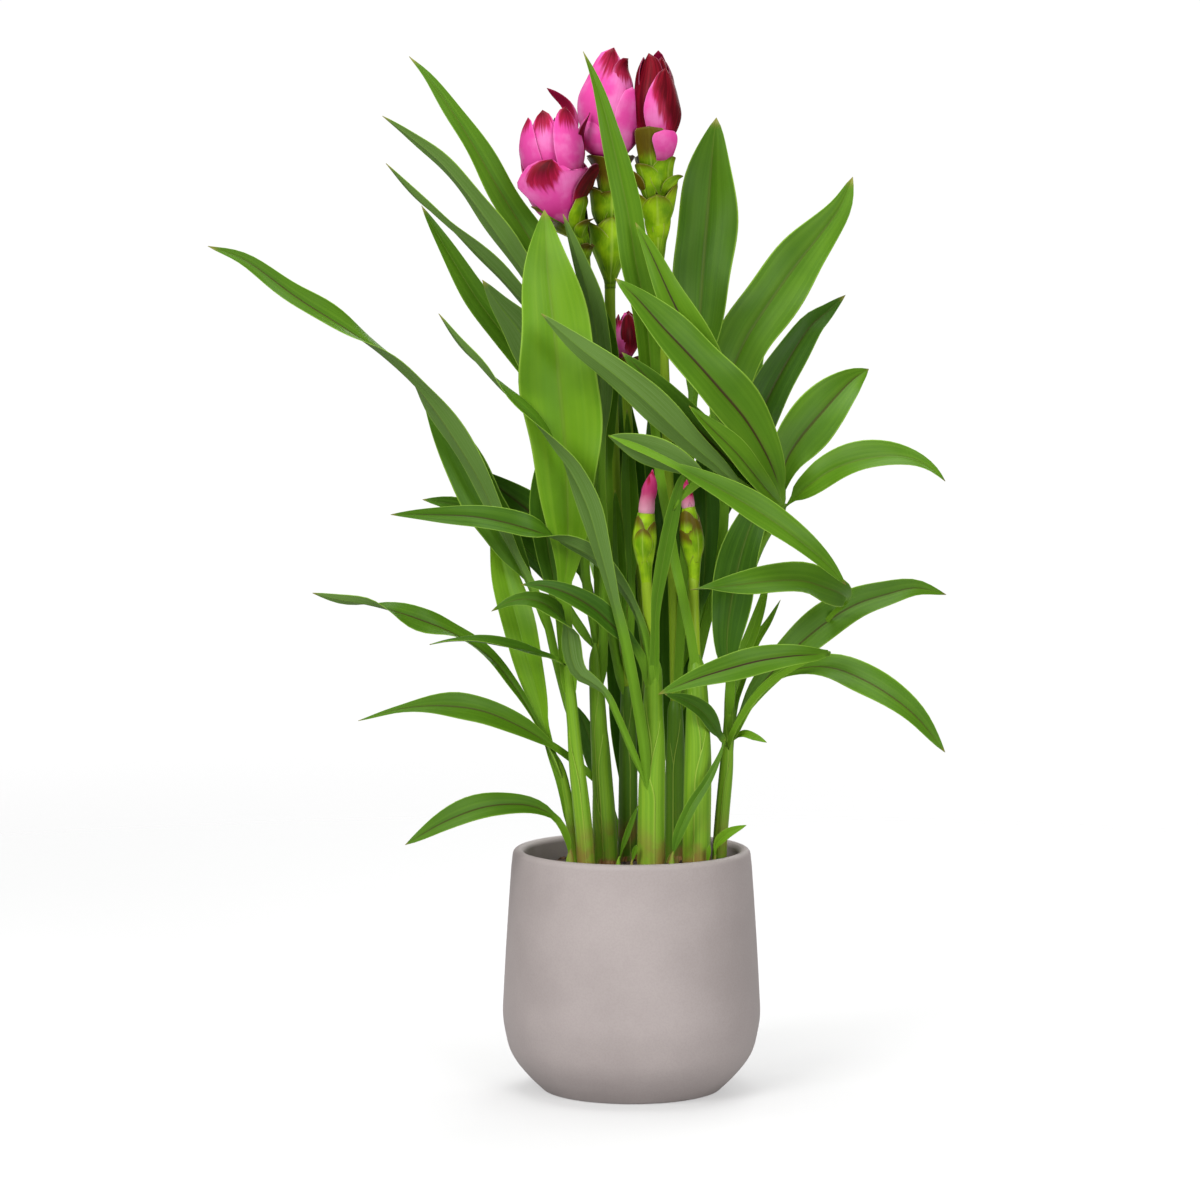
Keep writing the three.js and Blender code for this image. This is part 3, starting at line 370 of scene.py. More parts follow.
SOIL_LEVEL = 132
SOIL_CROWN = 3.5
SOIL_GAP = 0.32
SOIL_SHRINK = 0.5
SOIL_RINGS = 30
SOIL_STEPS = 96
SOIL_ROUGHNESS = 1.8
SOIL_LUMP = 7
CRUMBS = 420
CRUMB_SIZES = (0.7, 2.4)
CRUMB_STRETCHES = ((0.7, 1.5), (0.6, 1.2), (0.4, 0.8))
CRUMB_LUMPS = 0.35
CRUMB_CLEAR = 2


def soil_edge():
    return wall_radius(SOIL_LEVEL) - POT_WALL - SOIL_GAP - SOIL_SHRINK


def soil_height(x, y):
    """Height of the soil at a place, in millimetres, with its lumps."""
    share = math.hypot(x, y) / soil_edge()
    lumps = noise.fractal(Vector((x, y, 0)) / SOIL_LUMP, 0.8, 2, 4)
    return SOIL_LEVEL + SOIL_CROWN * (1 - share ** 2) + SOIL_ROUGHNESS * lumps * (1 - share ** 8)


def soil_mesh():
    floor = POT_FLOOR + SOIL_GAP
    wall = [(wall_radius(height) - POT_WALL - SOIL_GAP, height) for height in (40, 90, 124)]
    top = [(soil_edge() * (1 - i / SOIL_RINGS), SOIL_LEVEL) for i in range(SOIL_RINGS + 1)]
    bm = turned([(0, floor), (49.7, floor), (61.5, 22.4), *wall, *top], SOIL_STEPS)
    for vert in bm.verts:
        if vert.co.z > (SOIL_LEVEL - 1) * MM:
            vert.co.z = soil_height(vert.co.x / MM, vert.co.y / MM) * MM
    return bm


def crumb_mesh():
    rng = random.Random(7)
    bm = bmesh.new()
    for _ in range(CRUMBS):
        angle = rng.uniform(0, math.tau)
        away = (soil_edge() - CRUMB_CLEAR) * math.sqrt(rng.random())
        x, y = math.cos(angle) * away, math.sin(angle) * away
        size = blend(*CRUMB_SIZES, rng.random() ** 2)
        stretch = Vector([rng.uniform(*limits) for limits in CRUMB_STRETCHES])
        middle = Vector((x, y, soil_height(x, y) + size * 0.2))
        crumb = bmesh.ops.create_icosphere(bm, subdivisions=1, radius=size)
        for vert in crumb["verts"]:
            lump = 1 + CRUMB_LUMPS * noise.noise(vert.co * 1.4 + middle)
            vert.co = (middle + vert.co * stretch * lump) * MM
    return bm


def soil_finish(name, dark, light):
    earth = Finish(name, Roughness=0.95)
    place = earth.coordinates()
    lumps = earth.noise(place, 260, 5, 0.65)
    grit = earth.noise(place, 1500, 2)
    earth.look = earth.mix(earth.step(lumps, 0.35, 0.7), tint(*dark), tint(*light))
    earth.wear()
    earth.bump(earth.mix(0.4, lumps, grit), 0.8, 1.0)
    return earth.material


finish_piece("soil_top", soil_mesh(), soil_finish("soil", (30, 21, 15), (74, 54, 38)), "soil", "soil")
crumb_finish = soil_finish("soil_crumbs", (44, 31, 22), (98, 72, 50))
finish_piece("soil_crumbs", crumb_mesh(), crumb_finish, "soil", "soil")


# The leaves: long pointed blades, each on a channelled stalk that leaves its stem at a sheath.
# They have a sunk maroon midrib, fine parallel veins, a thin pale edge and a grey-green underside.

LEAF_ROW = 5.5
LEAF_THICKNESS = 0.55
LEAF_EDGE = 0.28
STALK_THICKNESS = 2.4
LEAF_TIP = 0.12
LEAF_ROOT = 16
LEAF_ROOT_WIDTH = 0.12
LEAF_ROOT_THICKNESS = 0.5
LEAF_FULLNESS = 0.8
LEAF_OPENING = (-0.05, 0.12)
LEAF_PHASE = 2.4
STALK_EDGE = 0.7
NERVE_HEIGHT = 0.5
STALK_NERVE_HEIGHT = 0.2
NERVE_HALF_WIDTH = 1.6
NERVE_SUNK = 0.4
STALK_CHANNEL = 0.5
LEAF_DROOP = 0.35
LEAF_DRAWN = (0.5, 0.85)
LEAF_WAVE = 0.12
LEAF_WAVELENGTH = 62
LEAF_RIPPLE = 0.06
RIPPLE_PACE = 0.83
# By how much the right margin's wave and ripple run ahead of the left one's, in radians.
WAVE_LEAD = 1.3
RIPPLE_LEAD = 2.2
ACROSS = (-1, -0.95, -0.8, -0.6, -0.4, -0.2, -0.06, 0, 0.06, 0.2, 0.4, 0.6, 0.8, 0.95, 1)


def seen(across, up, near):
    """A place given across and up as seen, and near: how far it lies in front of the pot's axis."""
    share = 1 - near / -VIEWPOINT.y
    return (blend(VIEWPOINT.x, across, share), -near, blend(VIEWPOINT.z, up, share))


class Route(Line):
    """A line through places as seen, with a side across the line of sight and a face to the front, or
    with a level side where it is level."""

    def __init__(self, places, level=False, fourth=0):
        rows = [(*seen(*place[:3]), place[3] if len(place) > 3 else fourth) for place in places]
        super().__init__(rows)
        self.level = None
        if level:
            heading = Vector((rows[-1][0] - rows[0][0], rows[-1][1] - rows[0][1], 0)).normalized()
            self.level = Vector((heading.y, -heading.x, 0))

    def frame(self, u):
        point, forward, extra = self.at(u)
        if self.level:
            side = self.level - forward * forward.dot(self.level)
        else:
            side = forward.cross(VIEWPOINT - point)
        side.normalize()
        return point, forward, side, side.cross(forward), extra


def work(*numbers):
    """An empty mesh in the making, with a UV map and the named numbers at its points."""
    bm = bmesh.new()
    bm.loops.layers.uv.new("UVMap")
    for name in numbers:
        bm.verts.layers.float.new(name)
    return bm


def skin(bm, rings, **numbers):
    """Lays a flat grid over rings of (place, share round), and closes it round. The named numbers
    are the same all over, or a list with one for each ring."""
    rows, columns = len(rings) - 1, len(rings[0]) - 1
    grid = bmesh.ops.create_grid(bm, x_segments=rows, y_segments=columns, size=0.5)
    spots = {}
    for vert in grid["verts"]:
        spots[vert] = (round((vert.co.x + 0.5) * rows), round((vert.co.y + 0.5) * columns))
    uv = bm.loops.layers.uv.active
    for face in {face for vert in spots for face in vert.link_faces}:
        for loop in face.loops:
            i, j = spots[loop.vert]
            loop[uv].uv = (i / rows, rings[i][j][1])
    for name, value in numbers.items():
        layer = bm.verts.layers.float[name]
        for vert, (i, _) in spots.items():
            vert[layer] = value[i] if isinstance(value, list) else value
    for vert, (i, j) in spots.items():
        vert.co = rings[i][j][0] * MM
    seam = [vert for vert, (_, j) in spots.items() if j in (0, columns)]
    bmesh.ops.remove_doubles(bm, verts=seam, dist=1e-7)


def thin_ring(spot):
    """A ring across a thin blade: its upper face from edge to edge, then its underside back.
    spot gives the middle, the way up and the thickness above and below it, at -1 to 1 across."""
    upper = []
    under = []
    for s in ACROSS:
        middle, normal, above, below = spot(s)
        upper.append((middle + normal * above, (s + 1) / 4))
        under.append((middle - normal * below, 0.5 + (1 - s) / 4))
    under.reverse()
    return [*upper, *under, (upper[0][0], 1.0)]


def leaf(bm, serial, route, half, tone, rib, start=0.3, widest=0.5, stalk=2.8, fold=18, level=False,
         drawn=0.0, root=LEAF_ROOT, roll=0):
    """One leaf along its route. Its blade starts at a share of the route, and is widest at a share of
    the blade. half and stalk are half widths, fold is the slope of its halves in degrees, drawn is
    how far its tip is drawn out, and over the length of its root it grows out of its stem. A level
    one lies level from side to side before it is rolled."""
    line = Route(route, level, roll)
    rows = max(24, round(line.length / LEAF_ROW))
    power = math.log(0.5) / math.log(widest)
    crease = math.tan(math.radians(fold))
    rings = []
    opened = []
    for i in range(rows + 1):
        u = i / rows
        point, forward, side, face, rolled = line.frame(u)
        turn = math.radians(rolled)
        across = side * math.cos(turn) + face * math.sin(turn)
        upward = face * math.cos(turn) - side * math.sin(turn)
        rooted = ease(u * line.length, 0, root)
        v = min(max((u - start) / (1 - start), 0.0), 1.0)
        blade = half * max(math.sin(math.pi * v ** power), 0.0) ** LEAF_FULLNESS
        blade *= 1 - drawn * ease(v, *LEAF_DRAWN)
        wide = max(blade, blend(stalk, LEAF_TIP, v)) * blend(LEAF_ROOT_WIDTH, 1, rooted)
        open_share = ease(u, start + LEAF_OPENING[0], start + LEAF_OPENING[1])
        phase = serial * LEAF_PHASE + line.length / LEAF_WAVELENGTH * math.tau * u
        thick = blend(STALK_THICKNESS, LEAF_THICKNESS, open_share) * blend(LEAF_ROOT_THICKNESS, 1, rooted)
        edge = blend(STALK_EDGE, LEAF_EDGE, open_share)
        nerve = blend(STALK_NERVE_HEIGHT, NERVE_HEIGHT, open_share) * (1 - v)

        def spot(s):
            right = s > 0
            bend = abs(s) * (1 + LEAF_DROOP) - LEAF_DROOP * s * s
            wave = LEAF_WAVE * s * s * math.sin(phase + WAVE_LEAD * right)
            ripple = 1 + LEAF_RIPPLE * open_share * math.sin(phase * RIPPLE_PACE + RIPPLE_LEAD * right)
            lift = wide * open_share * (bend * crease + wave)
            lift += wide * (1 - open_share) * STALK_CHANNEL * s * s
            body = blend(thick, edge, abs(s) ** 1.5) / 2
            ridge = nerve * max(0.0, 1 - abs(s) * wide / NERVE_HALF_WIDTH)
            middle = point + across * (s * wide * ripple) + upward * lift
            return middle, upward, body - ridge * NERVE_SUNK, body + ridge

        rings.append(thin_ring(spot))
        opened.append(open_share)
    skin(bm, rings, tone=tone, rib=rib, blade=opened)


# The two faces of a blade, a hair under 2 so that its seam stays on the underside.
TWO_FACES = 1.9999


def blade_shares(finish):
    """Of a thin blade, from its UV map: how far along and round it a point is, how far aside of its
    middle, from -1 to 1, the same without a sign, and 1 on the upper face."""
    split = finish.node("SeparateXYZ", {0: finish.node("TexCoord").outputs["UV"]})
    along, round_share = split.outputs[0], split.outputs[1]
    on_face = finish.math("FRACT", finish.times(round_share, TWO_FACES))
    aside = finish.times(finish.math("SUBTRACT", on_face, 0.5), 2)
    upper = finish.math("LESS_THAN", round_share, 0.5)
    return along, round_share, aside, finish.math("ABSOLUTE", aside), upper


def leaf_finish():
    green = Finish("leaf_green", Roughness=0.42, Specular_IOR_Level=0.14)
    along, round_share, _, from_middle, upper = blade_shares(green)
    tone = green.attribute("tone")
    rib = green.attribute("rib")
    blade = green.attribute("blade")
    seed = green.times(tone, 31)
    veins = green.grain(along, 2.2, round_share, 120, 2, seed)
    bands = green.grain(along, 1.5, round_share, 22, 2, seed)
    patches = green.noise(green.coordinates(), 22, 3)

    # Partly painted shade: a low tone, given to leaves that stand in the shade, makes both faces darker
    # green.
    under = green.mix(tone, tint(70, 104, 42), tint(116, 152, 62))
    under = green.mix(green.step(veins, 0.4, 0.7, 0, 0.35), under, tint(136, 164, 96))
    green.look = green.mix(tone, tint(36, 76, 14), tint(112, 162, 24))
    lighter = green.mix(tone, tint(62, 108, 24), tint(140, 184, 42))
    green.look = green.mix(green.step(bands, 0.35, 0.7, 0, 0.45), green.look, lighter)
    green.cover(green.step(veins, 0.45, 0.75, 0, 0.22), 108, 160, 44)
    green.cover(green.step(patches, 0.4, 0.75, 0, 0.32), 46, 86, 16)
    green.look = green.mix(upper, under, green.look)

    smear = green.times(green.step(from_middle, 0.05, 0.32, 0.26, 0), rib)
    smear = green.times(smear, green.step(bands, 0.45, 0.6))
    green.cover(green.times(smear, blade), 74, 62, 34)
    green.cover(green.times(green.step(from_middle, 0.0, 0.06, 0.4, 0), blade), 128, 168, 54)
    stripe = green.times(green.step(from_middle, 0.03, 0.075, 1, 0), rib)
    stripe = green.times(stripe, green.step(along, 0.9, 1.0, 1, 0))
    stripe = green.times(stripe, green.step(blade, 0.5, 1.0))
    stripe = green.times(stripe, green.mix(upper, (0.25, 0.25, 0.25, 1), (1, 1, 1, 1)))
    green.cover(stripe, 58, 26, 22)

    petiole = green.mix(veins, tint(84, 134, 24), tint(126, 170, 40))
    green.look = green.mix(green.step(blade, 0.0, 0.8), petiole, green.look)
    green.cover(green.step(from_middle, 0.93, 0.985, 0, 0.8), 150, 190, 66)
    green.cover(green.step(along, 0.975, 1.0, 0, 0.85), 150, 140, 66)
    green.wear()
    green.feed(green.shader.inputs["Roughness"], green.step(upper, 0, 1, 0.6, 0.4))
    normal = green.bump(green.mix(0.55, veins, bands), 0.35, 0.35)
    green.glow(0.22, green.mix(0.5, green.look, tint(150, 200, 40)), normal)
    return green.material


# The leaves of each shoot. A route's rows say how far across, up and near its places are as seen,
# and how the blade is rolled there, unless it is as the leaf's own roll says: 0 turns the upper
# face to the front, and 180 the underside. tone runs from dark to bright green, and rib is how
# red the midrib is. The tone is partly a leaf's own green and partly painted shade: leaves that
# stand in the shade, under others, low between the stems or at the back are given low tones.
LEAVES = dict(
    shoot_left_outer=[
        # Pale upright leaf, low on the left.
        dict(tone=0.95, rib=0, half=10, start=0.33, stalk=2.6, route=[
            (-35, 150, 10), (-42, 183, 10), (-49, 207, 12, 5), (-56, 237, 13, 5), (-65, 270, 12),
            (-73, 300, 6, -5), (-79, 324, -4, -5), (-84, 346, -8)]),
        # Long twisted leaf that reaches level to the left.
        dict(tone=0.35, rib=0.8, half=7.5, start=0.14, widest=0.58, stalk=2.3, route=[
            (-40, 183, 10.5, -80), (-48, 204, 15, -60), (-58, 223, 18, -45), (-70, 243, 22, -42),
            (-85, 261, 26, -60), (-106, 275, 30, -60), (-127, 284, 34, -20), (-146, 290, 36, -72),
            (-158, 293, 36, -108), (-175, 296, 36, -140), (-191, 300, 34, -155)]),
    ],
    shoot_left_inner=[
        # Big bright front leaf.
        dict(tone=0.85, rib=0.15, half=23, start=0.2, stalk=4.8, widest=0.57, fold=15, route=[
            (-36, 231, 24), (-39, 264, 25), (-41, 294, 27), (-39, 318, 31), (-38, 342, 35, 5),
            (-39, 378, 40, 5), (-42, 414, 42), (-46, 456, 40, -5), (-50, 492, 36, -5), (-52, 528.5, 30)]),
        # Long twisted leaf that sweeps up to the far left.
        dict(tone=0.35, rib=0.8, half=10, start=0.22, widest=0.56, roll=-150, route=[
            (-34.5, 216, 23), (-41, 240, 18), (-47, 264, 17), (-52, 285, 16), (-60, 304, 16),
            (-71, 326, 17), (-81, 347, 20), (-91, 368, 24), (-103, 388, 28, -145), (-117, 409, 32, -130),
            (-131, 426, 36, -105), (-151, 444, 40, -84), (-171, 458, 42, -60), (-199, 476, 42, -35),
            (-229, 498, 38, -15), (-252, 507, 32, -10)]),
        # Dark leaf with a red midrib, left of the middle.
        dict(tone=0.3, rib=1, half=13, start=0.2, route=[
            (-50, 273, 16.8), (-54, 290, 14.5), (-62, 309, 10), (-72, 325, 8), (-80, 341, 7),
            (-88, 354, 6, 5), (-99, 375, 5, 5), (-109, 394, 5, 5), (-118, 409, 5), (-125, 419, 5)]),
        # Narrow dark leaf behind the big bright one.
        dict(tone=0.2, rib=0.3, half=9, start=0.25, route=[
            (-36.5, 240, 22.5), (-41, 270, 18), (-45, 300, 16), (-50, 327, 14), (-52, 354, 14),
            (-49, 384, 14), (-44, 408, 14)]),
        # Leaf held edge-on, level to the left.
        dict(tone=0.2, rib=0.3, half=6.5, start=0.1, route=[
            (-39, 256, 26, -60), (-48, 261, 34, -60), (-61, 265, 44, -60), (-76, 268, 54, -65),
            (-94, 271, 62, -70), (-109, 271, 66, -80), (-121, 269, 68, -90)]),
    ],
    shoot_mid_left=[
        # Tallest leaf of the left, which leans out to a fine tip.
        dict(tone=0.35, rib=0.4, half=9.5, start=0.42, route=[
            (-18, 240, 5), (-19, 275, 2), (-20, 315, -1), (-19, 354, -3), (-21, 396, -4, -10),
            (-28, 435, -5, -20), (-42, 478, -6, -25), (-57, 505, -9, -25), (-77, 537, -14, -30),
            (-100, 576, -24, -30), (-119, 604, -34, -35), (-132, 619, -42, -40)]),
        # Its neighbour, turned to show a grey-green underside.
        dict(tone=0.4, rib=0.3, half=9, start=0.4, route=[
            (-19, 262, 3, -170), (-28, 312, 4, -165), (-26, 354, 6, -160), (-25, 390, 8, -150),
            (-31, 426, 8, -140), (-43, 459, 6, -135), (-56, 480, 4, -130), (-70, 500, 2, -130),
            (-85, 521, 0, -130), (-100, 541, -4, -130), (-115, 558, -8, -130), (-132, 572, -14, -135),
            (-148, 584, -22, -140)]),
        # Narrow upright leaf right of the big bright one, underside out.
        dict(tone=0.45, rib=0.1, half=8, start=0.5, route=[
            (-18, 240, 6, -170), (-17, 285, 10, -170), (-17, 330, 13, -165), (-19, 372, 15, -160),
            (-18, 408, 16, -155), (-19, 441, 16, -150), (-23, 467, 17, -140), (-29, 489, 21, -140),
            (-35, 508, 26, -145), (-41, 526, 30, -150)]),
        # Second narrow upright leaf, behind the first.
        dict(tone=0.4, rib=0.1, half=7.5, start=0.5, route=[
            (-19, 240, 3), (-15, 300, 0), (-14, 354, 2), (-15, 402, 3), (-15, 432, 3), (-17, 456, 3),
            (-23, 477, 3), (-28, 493, 3)]),
        # Leaf in the shade left of the stems, painted dark as shade by its low tone.
        dict(tone=0.15, rib=0.8, half=11, start=0.35, route=[
            (-20, 258, 4), (-23, 285, -2), (-28, 309, -10), (-40, 329, -14), (-54, 343, -15),
            (-70, 356, -14, 5), (-86, 368, -10, 5), (-95, 375, -8)]),
        # Leaf behind it, level to the left.
        dict(tone=0.2, rib=0.3, half=8, route=[
            (-20.5, 264, 4), (-36, 287, -8), (-47, 305, -18), (-61, 324, -22, -10), (-79, 340, -22, -10),
            (-103, 352, -16, -10), (-125, 356, -14, -20)]),
        # Lowest long leaf on the left, level and a little drooping.
        dict(tone=0.4, rib=0.7, half=8.6, start=0.25, stalk=2.2, drawn=0.6, roll=-20, route=[
            (-17, 180, 2), (-25, 190, 3), (-33, 197, 6), (-42, 204, 14), (-51, 210, 22), (-68, 220, 32),
            (-90, 229, 40), (-115, 232, 46), (-139, 230, 50), (-164, 223, 52)]),
    ],
    shoot_centre=[
        # Long twisted leaf that crosses to the left and up.
        dict(tone=0.35, rib=0.2, half=8.5, start=0.35, stalk=3.2, root=50, route=[
            (11, 160, 43, -175), (9.5, 182, 44.5, -175), (7, 210, 50, -175), (2, 240, 54, -170),
            (-4, 270, 58, -165), (-11, 297, 60, -160), (-19, 327, 60, -155), (-26, 351, 60, -150),
            (-36, 372, 60, -130), (-46, 386, 60, -100), (-56, 400, 60, -70), (-66, 411, 58, -65),
            (-77, 421, 56, -80), (-89, 434, 54, -105), (-102, 449, 50, -125), (-115, 467, 46, -140)]),
        # Leaf that bends level to the left over it.
        dict(tone=0.25, rib=0.8, half=8, start=0.2, route=[
            (12.5, 234, 41, -150), (11, 255, 44, -150), (7, 276, 44, -150), (0, 294, 44, -150),
            (-10, 309, 45, -140), (-24, 322, 46, -130), (-42, 331, 48, -110), (-61, 338, 50, -40),
            (-79, 343, 50, -20), (-97, 346, 48, -15), (-121, 347, 44, -10), (-144, 347, 38, -10)]),
        # Short dark leaf to the left.
        dict(tone=0.15, rib=0.8, half=7, start=0.25, roll=-25, route=[
            (12, 234, 40, 0), (8, 255, 42, 0), (1, 269, 46, -10), (-10, 279, 52, -20), (-22, 290, 58),
            (-37, 299, 64), (-52, 304, 68), (-66, 305, 70)]),
        # Leaf that rises between the buds and folds over to the right.
        dict(tone=0.45, rib=0.1, half=4.4, start=0.1, widest=0.6, stalk=3.2, route=[
            (13, 235, 40), (13.5, 264, 46), (14.5, 291, 54), (17.5, 312, 61), (21.3, 333, 68),
            (25.5, 352, 75), (28.9, 366, 84), (32, 374, 95)]),
        # Its blade, which tapers both ways from the fold.
        dict(tone=0.45, rib=0.3, half=9.2, start=0.24, widest=0.48, stalk=2.1, route=[
            (-14, 394.5, 97.6, 10), (-4, 390, 98.4, 12), (10, 384, 98.4, 14), (26, 376, 97, 18),
            (44, 367, 94.5, 24), (62, 357, 92, 30), (80, 346, 90, 30), (98, 333, 89, 25),
            (115, 319, 87, 20), (128, 305, 84, 20)]),
        # Its twin, which folds back to the left over the buds with its grey underside out.
        dict(tone=0.4, rib=0.1, half=10, roll=-150, route=[
            (25, 350, 75), (31, 360, 79), (38, 366, 83), (42, 369, 87), (36, 373, 91), (23, 379, 94),
            (8, 385, 96), (-6, 391, 97), (-14, 394, 97)]),
        # Slim leaf that arches to the left, twists and hooks over.
        dict(tone=0.3, rib=0.5, half=7, start=0.36, stalk=2.2, root=30, route=[
            (9.5, 176, 42, -170), (7.5, 187, 45, -170), (0, 205, 48, -165), (-8, 224, 48, -160),
            (-15, 239, 47, -160), (-23, 246, 45, -160), (-31, 251, 42, -160), (-35, 258, 40, -155),
            (-37, 268, 41, -150), (-38, 277, 44, -120), (-42, 285, 49, -70), (-50, 292, 53, -35),
            (-60, 296, 56, -25), (-72, 295, 56, -20), (-84, 289, 55, -15)]),
    ],
    shoot_right=[
        # Tall leaf that stands in the middle and tips to the left at the top.
        dict(tone=0.55, rib=0.2, half=8.8, start=0.38, route=[
            (40, 234, 27), (37, 264, 28), (32, 291, 28), (26, 318, 27), (22, 342, 26), (17, 369, 26),
            (14, 396, 27), (12, 423, 29), (10, 450, 32), (7, 474, 36, -5), (2, 499, 40, -5),
            (-2, 525, 43, -5), (-7, 549, 45), (-12, 570, 46, -10), (-17, 589, 46, -20), (-23, 607, 45, -30),
            (-29, 622, 43, -40)]),
    ],
    shoot_right_outer=[
        # Broad dark leaf in front of the stem.
        dict(tone=0.15, rib=0.3, half=12.5, start=0.15, route=[
            (58.5, 222, 9), (59, 246, 16), (57, 270, 17), (60, 297, 16, 5), (66, 325, 14, 10),
            (74, 348, 12, 10), (82, 360, 10, 5), (86, 372, 8)]),
        # Leaf that leans out to the upper right.
        dict(tone=0.45, rib=0.7, half=15, start=0.05, roll=10, route=[
            (91, 351, 12, 0), (89, 365, 14), (92, 379, 12), (99, 391, 8), (107, 401, 4), (115, 410, 0),
            (124, 420, -6), (132, 428, -12, 5), (141, 434, -18, 5)]),
        # Leaf that arches over to the right.
        dict(tone=0.45, rib=0.3, half=10.5, start=0.05, widest=0.42, route=[
            (91, 351, 13), (100, 360, 19, 20), (109, 367, 24, 25), (118, 373, 26, 25), (130, 378, 30, 28),
            (143, 381, 33, 34), (156, 382, 36, 40), (168, 380, 39, 45), (178, 375, 42, 48),
            (187, 367, 45, 50)]),
        # Broad leaf that crosses up to the left over the stems.
        dict(tone=0.45, rib=0.9, half=16, start=0.08, route=[
            (91, 350, 14), (87, 366, 32, -20), (80, 383, 46, -25), (68, 403, 54, -30), (53, 421, 60, -30),
            (37, 439, 64, -30), (19, 458, 66, -30), (3, 476, 66, -25), (-10, 488, 64, -20)]),
        # Narrower leaf beside it that ends higher.
        dict(tone=0.6, rib=1, half=11, start=0.08, roll=-15, route=[
            (91, 351, 14, 0), (86, 372, 26, -10), (77, 390, 36), (62, 411, 42), (47, 432, 47),
            (35, 453, 50), (23, 477, 51), (12, 501, 51, -10), (2, 521, 50, -10)]),
        # Curled leaf with its upper face in shadow, painted dark as shade by its low tone.
        dict(tone=0.1, rib=0.3, half=8, start=0.08, roll=-40, route=[
            (91, 351, 14), (88, 367, 26), (80, 381, 38, -50), (68, 393, 44, -50), (54, 405, 46),
            (43, 419, 46, -30)]),
        # Small leaf with a pale red midrib.
        dict(tone=0.55, rib=0.7, half=8, start=0.08, roll=-35, route=[
            (91, 351, 14, -30), (82, 360, 38), (72, 372, 56), (62, 384, 64), (50, 396, 70),
            (34, 412, 76, -30)]),
        # Green leaf under the broad one.
        dict(tone=0.3, rib=0.8, half=10, start=0.08, roll=-15, route=[
            (91, 350, 14, -10), (80, 359, 30), (68, 370, 42), (52, 385, 48), (35, 402, 50),
            (18, 419, 50, -10), (5, 433, 48, -10), (-6, 444, 46, 0)]),
        # Long leaf with its light underside out.
        dict(tone=0.45, rib=0.1, half=10, start=0.22, roll=-155, route=[
            (91, 351, 14, -160), (78, 356, 36, -160), (64, 365, 52), (49, 378, 60), (34, 391, 66),
            (18, 406, 70), (4, 419, 72), (-13, 433, 73), (-30, 446, 72), (-43, 457, 70), (-54, 467, 68)]),
        # Leaf that reaches far to the right.
        dict(tone=0.4, rib=0.7, half=11, start=0.08, roll=15, route=[
            (58, 207, 8, 0), (64, 221, 6, 10), (72, 236, 2), (83, 251, -4), (98, 267, -10), (116, 282, -18),
            (134, 293, -26), (152, 299, -32, 20), (170, 303, -38, 25), (188, 299, -44, 30)]),
        # Leaf that loops round and comes back to the front.
        dict(tone=0.4, rib=0.4, half=11, start=0.5, widest=0.42, stalk=1.5, route=[
            (58, 212, 7), (70, 231, -6), (88, 251, -14), (106, 270, -20), (119, 286, -18), (128, 295, -4),
            (126, 299, 16, -10), (116, 303, 32, -25), (102, 307, 44, -30), (84, 307, 54, -30),
            (66, 305, 61, -30), (50, 303, 66, -50), (35, 302, 70, -110)]),
        # Broad low leaf that droops to the right.
        dict(tone=0.4, rib=0.7, half=9.5, route=[
            (58, 207, 9, 20), (65, 221, 18, 30), (74, 236, 24, 40), (86, 248, 32, 40), (101, 254.5, 42, 35),
            (119, 255, 52, 30), (137, 248.5, 60, 25), (155, 238, 68, 20), (172, 224, 74, 20),
            (188, 204, 80, 20)]),
        # Leaf that folds back on itself towards the front.
        dict(tone=0.4, rib=1, half=8.3, start=0.51, stalk=1.7, route=[
            (58, 204, 9, 20), (60, 214, 20, 20), (67, 227, 29, 20), (77, 240, 38, 20), (92, 252, 50, 10),
            (108, 261, 62), (118, 264, 74), (112, 263, 86, -10), (96, 262, 94, -15), (76, 259, 100, -15),
            (57, 254, 104, -15), (38, 248, 107, -15), (16, 239, 110, -15)]),
        # Short dark leaf across the front.
        dict(tone=0.2, rib=0.2, half=5.5, start=0.2, stalk=2.2, roll=-20, route=[
            (57.5, 207, 9), (51, 217, 28), (43, 228, 40), (32, 235, 48), (20, 239, 53)]),
        # Young leaves close to the stem.
        dict(tone=0.8, rib=0, half=2.6, start=0.2, stalk=1.6, roll=20, route=[
            (58, 209, 9), (66, 215, 18), (74, 213, 24), (81, 210, 28)]),
        dict(tone=0.8, rib=0, half=4, start=0.2, stalk=1.8, route=[
            (57.5, 207, 7), (59, 231, -6), (65, 258, -14), (72, 277, -18), (78, 295, -20), (82, 312, -22)]),
        dict(tone=0.8, rib=0, half=3, start=0.2, stalk=1.8, route=[
            (58, 209, 7), (64, 240, -14), (72, 267, -22), (82, 283, -24), (89, 296, -24)]),
    ],
    shoot_back_left=[
        # Upper leaf of the left pair behind the tallest one.
        dict(tone=0.35, rib=0.4, half=8, start=0.4, route=[
            (-3, 246, -20, -150), (-8, 294, -26, -150), (-13, 336, -30, -140), (-19, 378, -32, -130),
            (-28, 414, -33, -130), (-40, 444, -33, -130), (-52, 462, -32, -130), (-67, 477, -31, -125),
            (-82, 493, -31, -120), (-97, 508, -32, -115), (-112, 521, -34, -110), (-127, 535, -38, -120),
            (-146, 556, -44, -130)]),
        # Lower leaf of that pair, strongly folded.
        dict(tone=0.35, rib=0.2, half=9, start=0.4, fold=32, roll=-10, route=[
            (-3, 240, -20, 0), (-9, 282, -32, 0), (-14, 318, -40, 0), (-20, 354, -46, 0),
            (-30, 384, -50, 0), (-43, 411, -52, -5), (-58, 432, -52), (-76, 454, -52), (-91, 474, -52),
            (-103, 493, -54), (-115, 513, -58), (-125, 531, -62)]),
        # Wide leaf with its grey underside to the front.
        dict(tone=0.3, rib=0.1, half=14, start=0.45, roll=-165, route=[
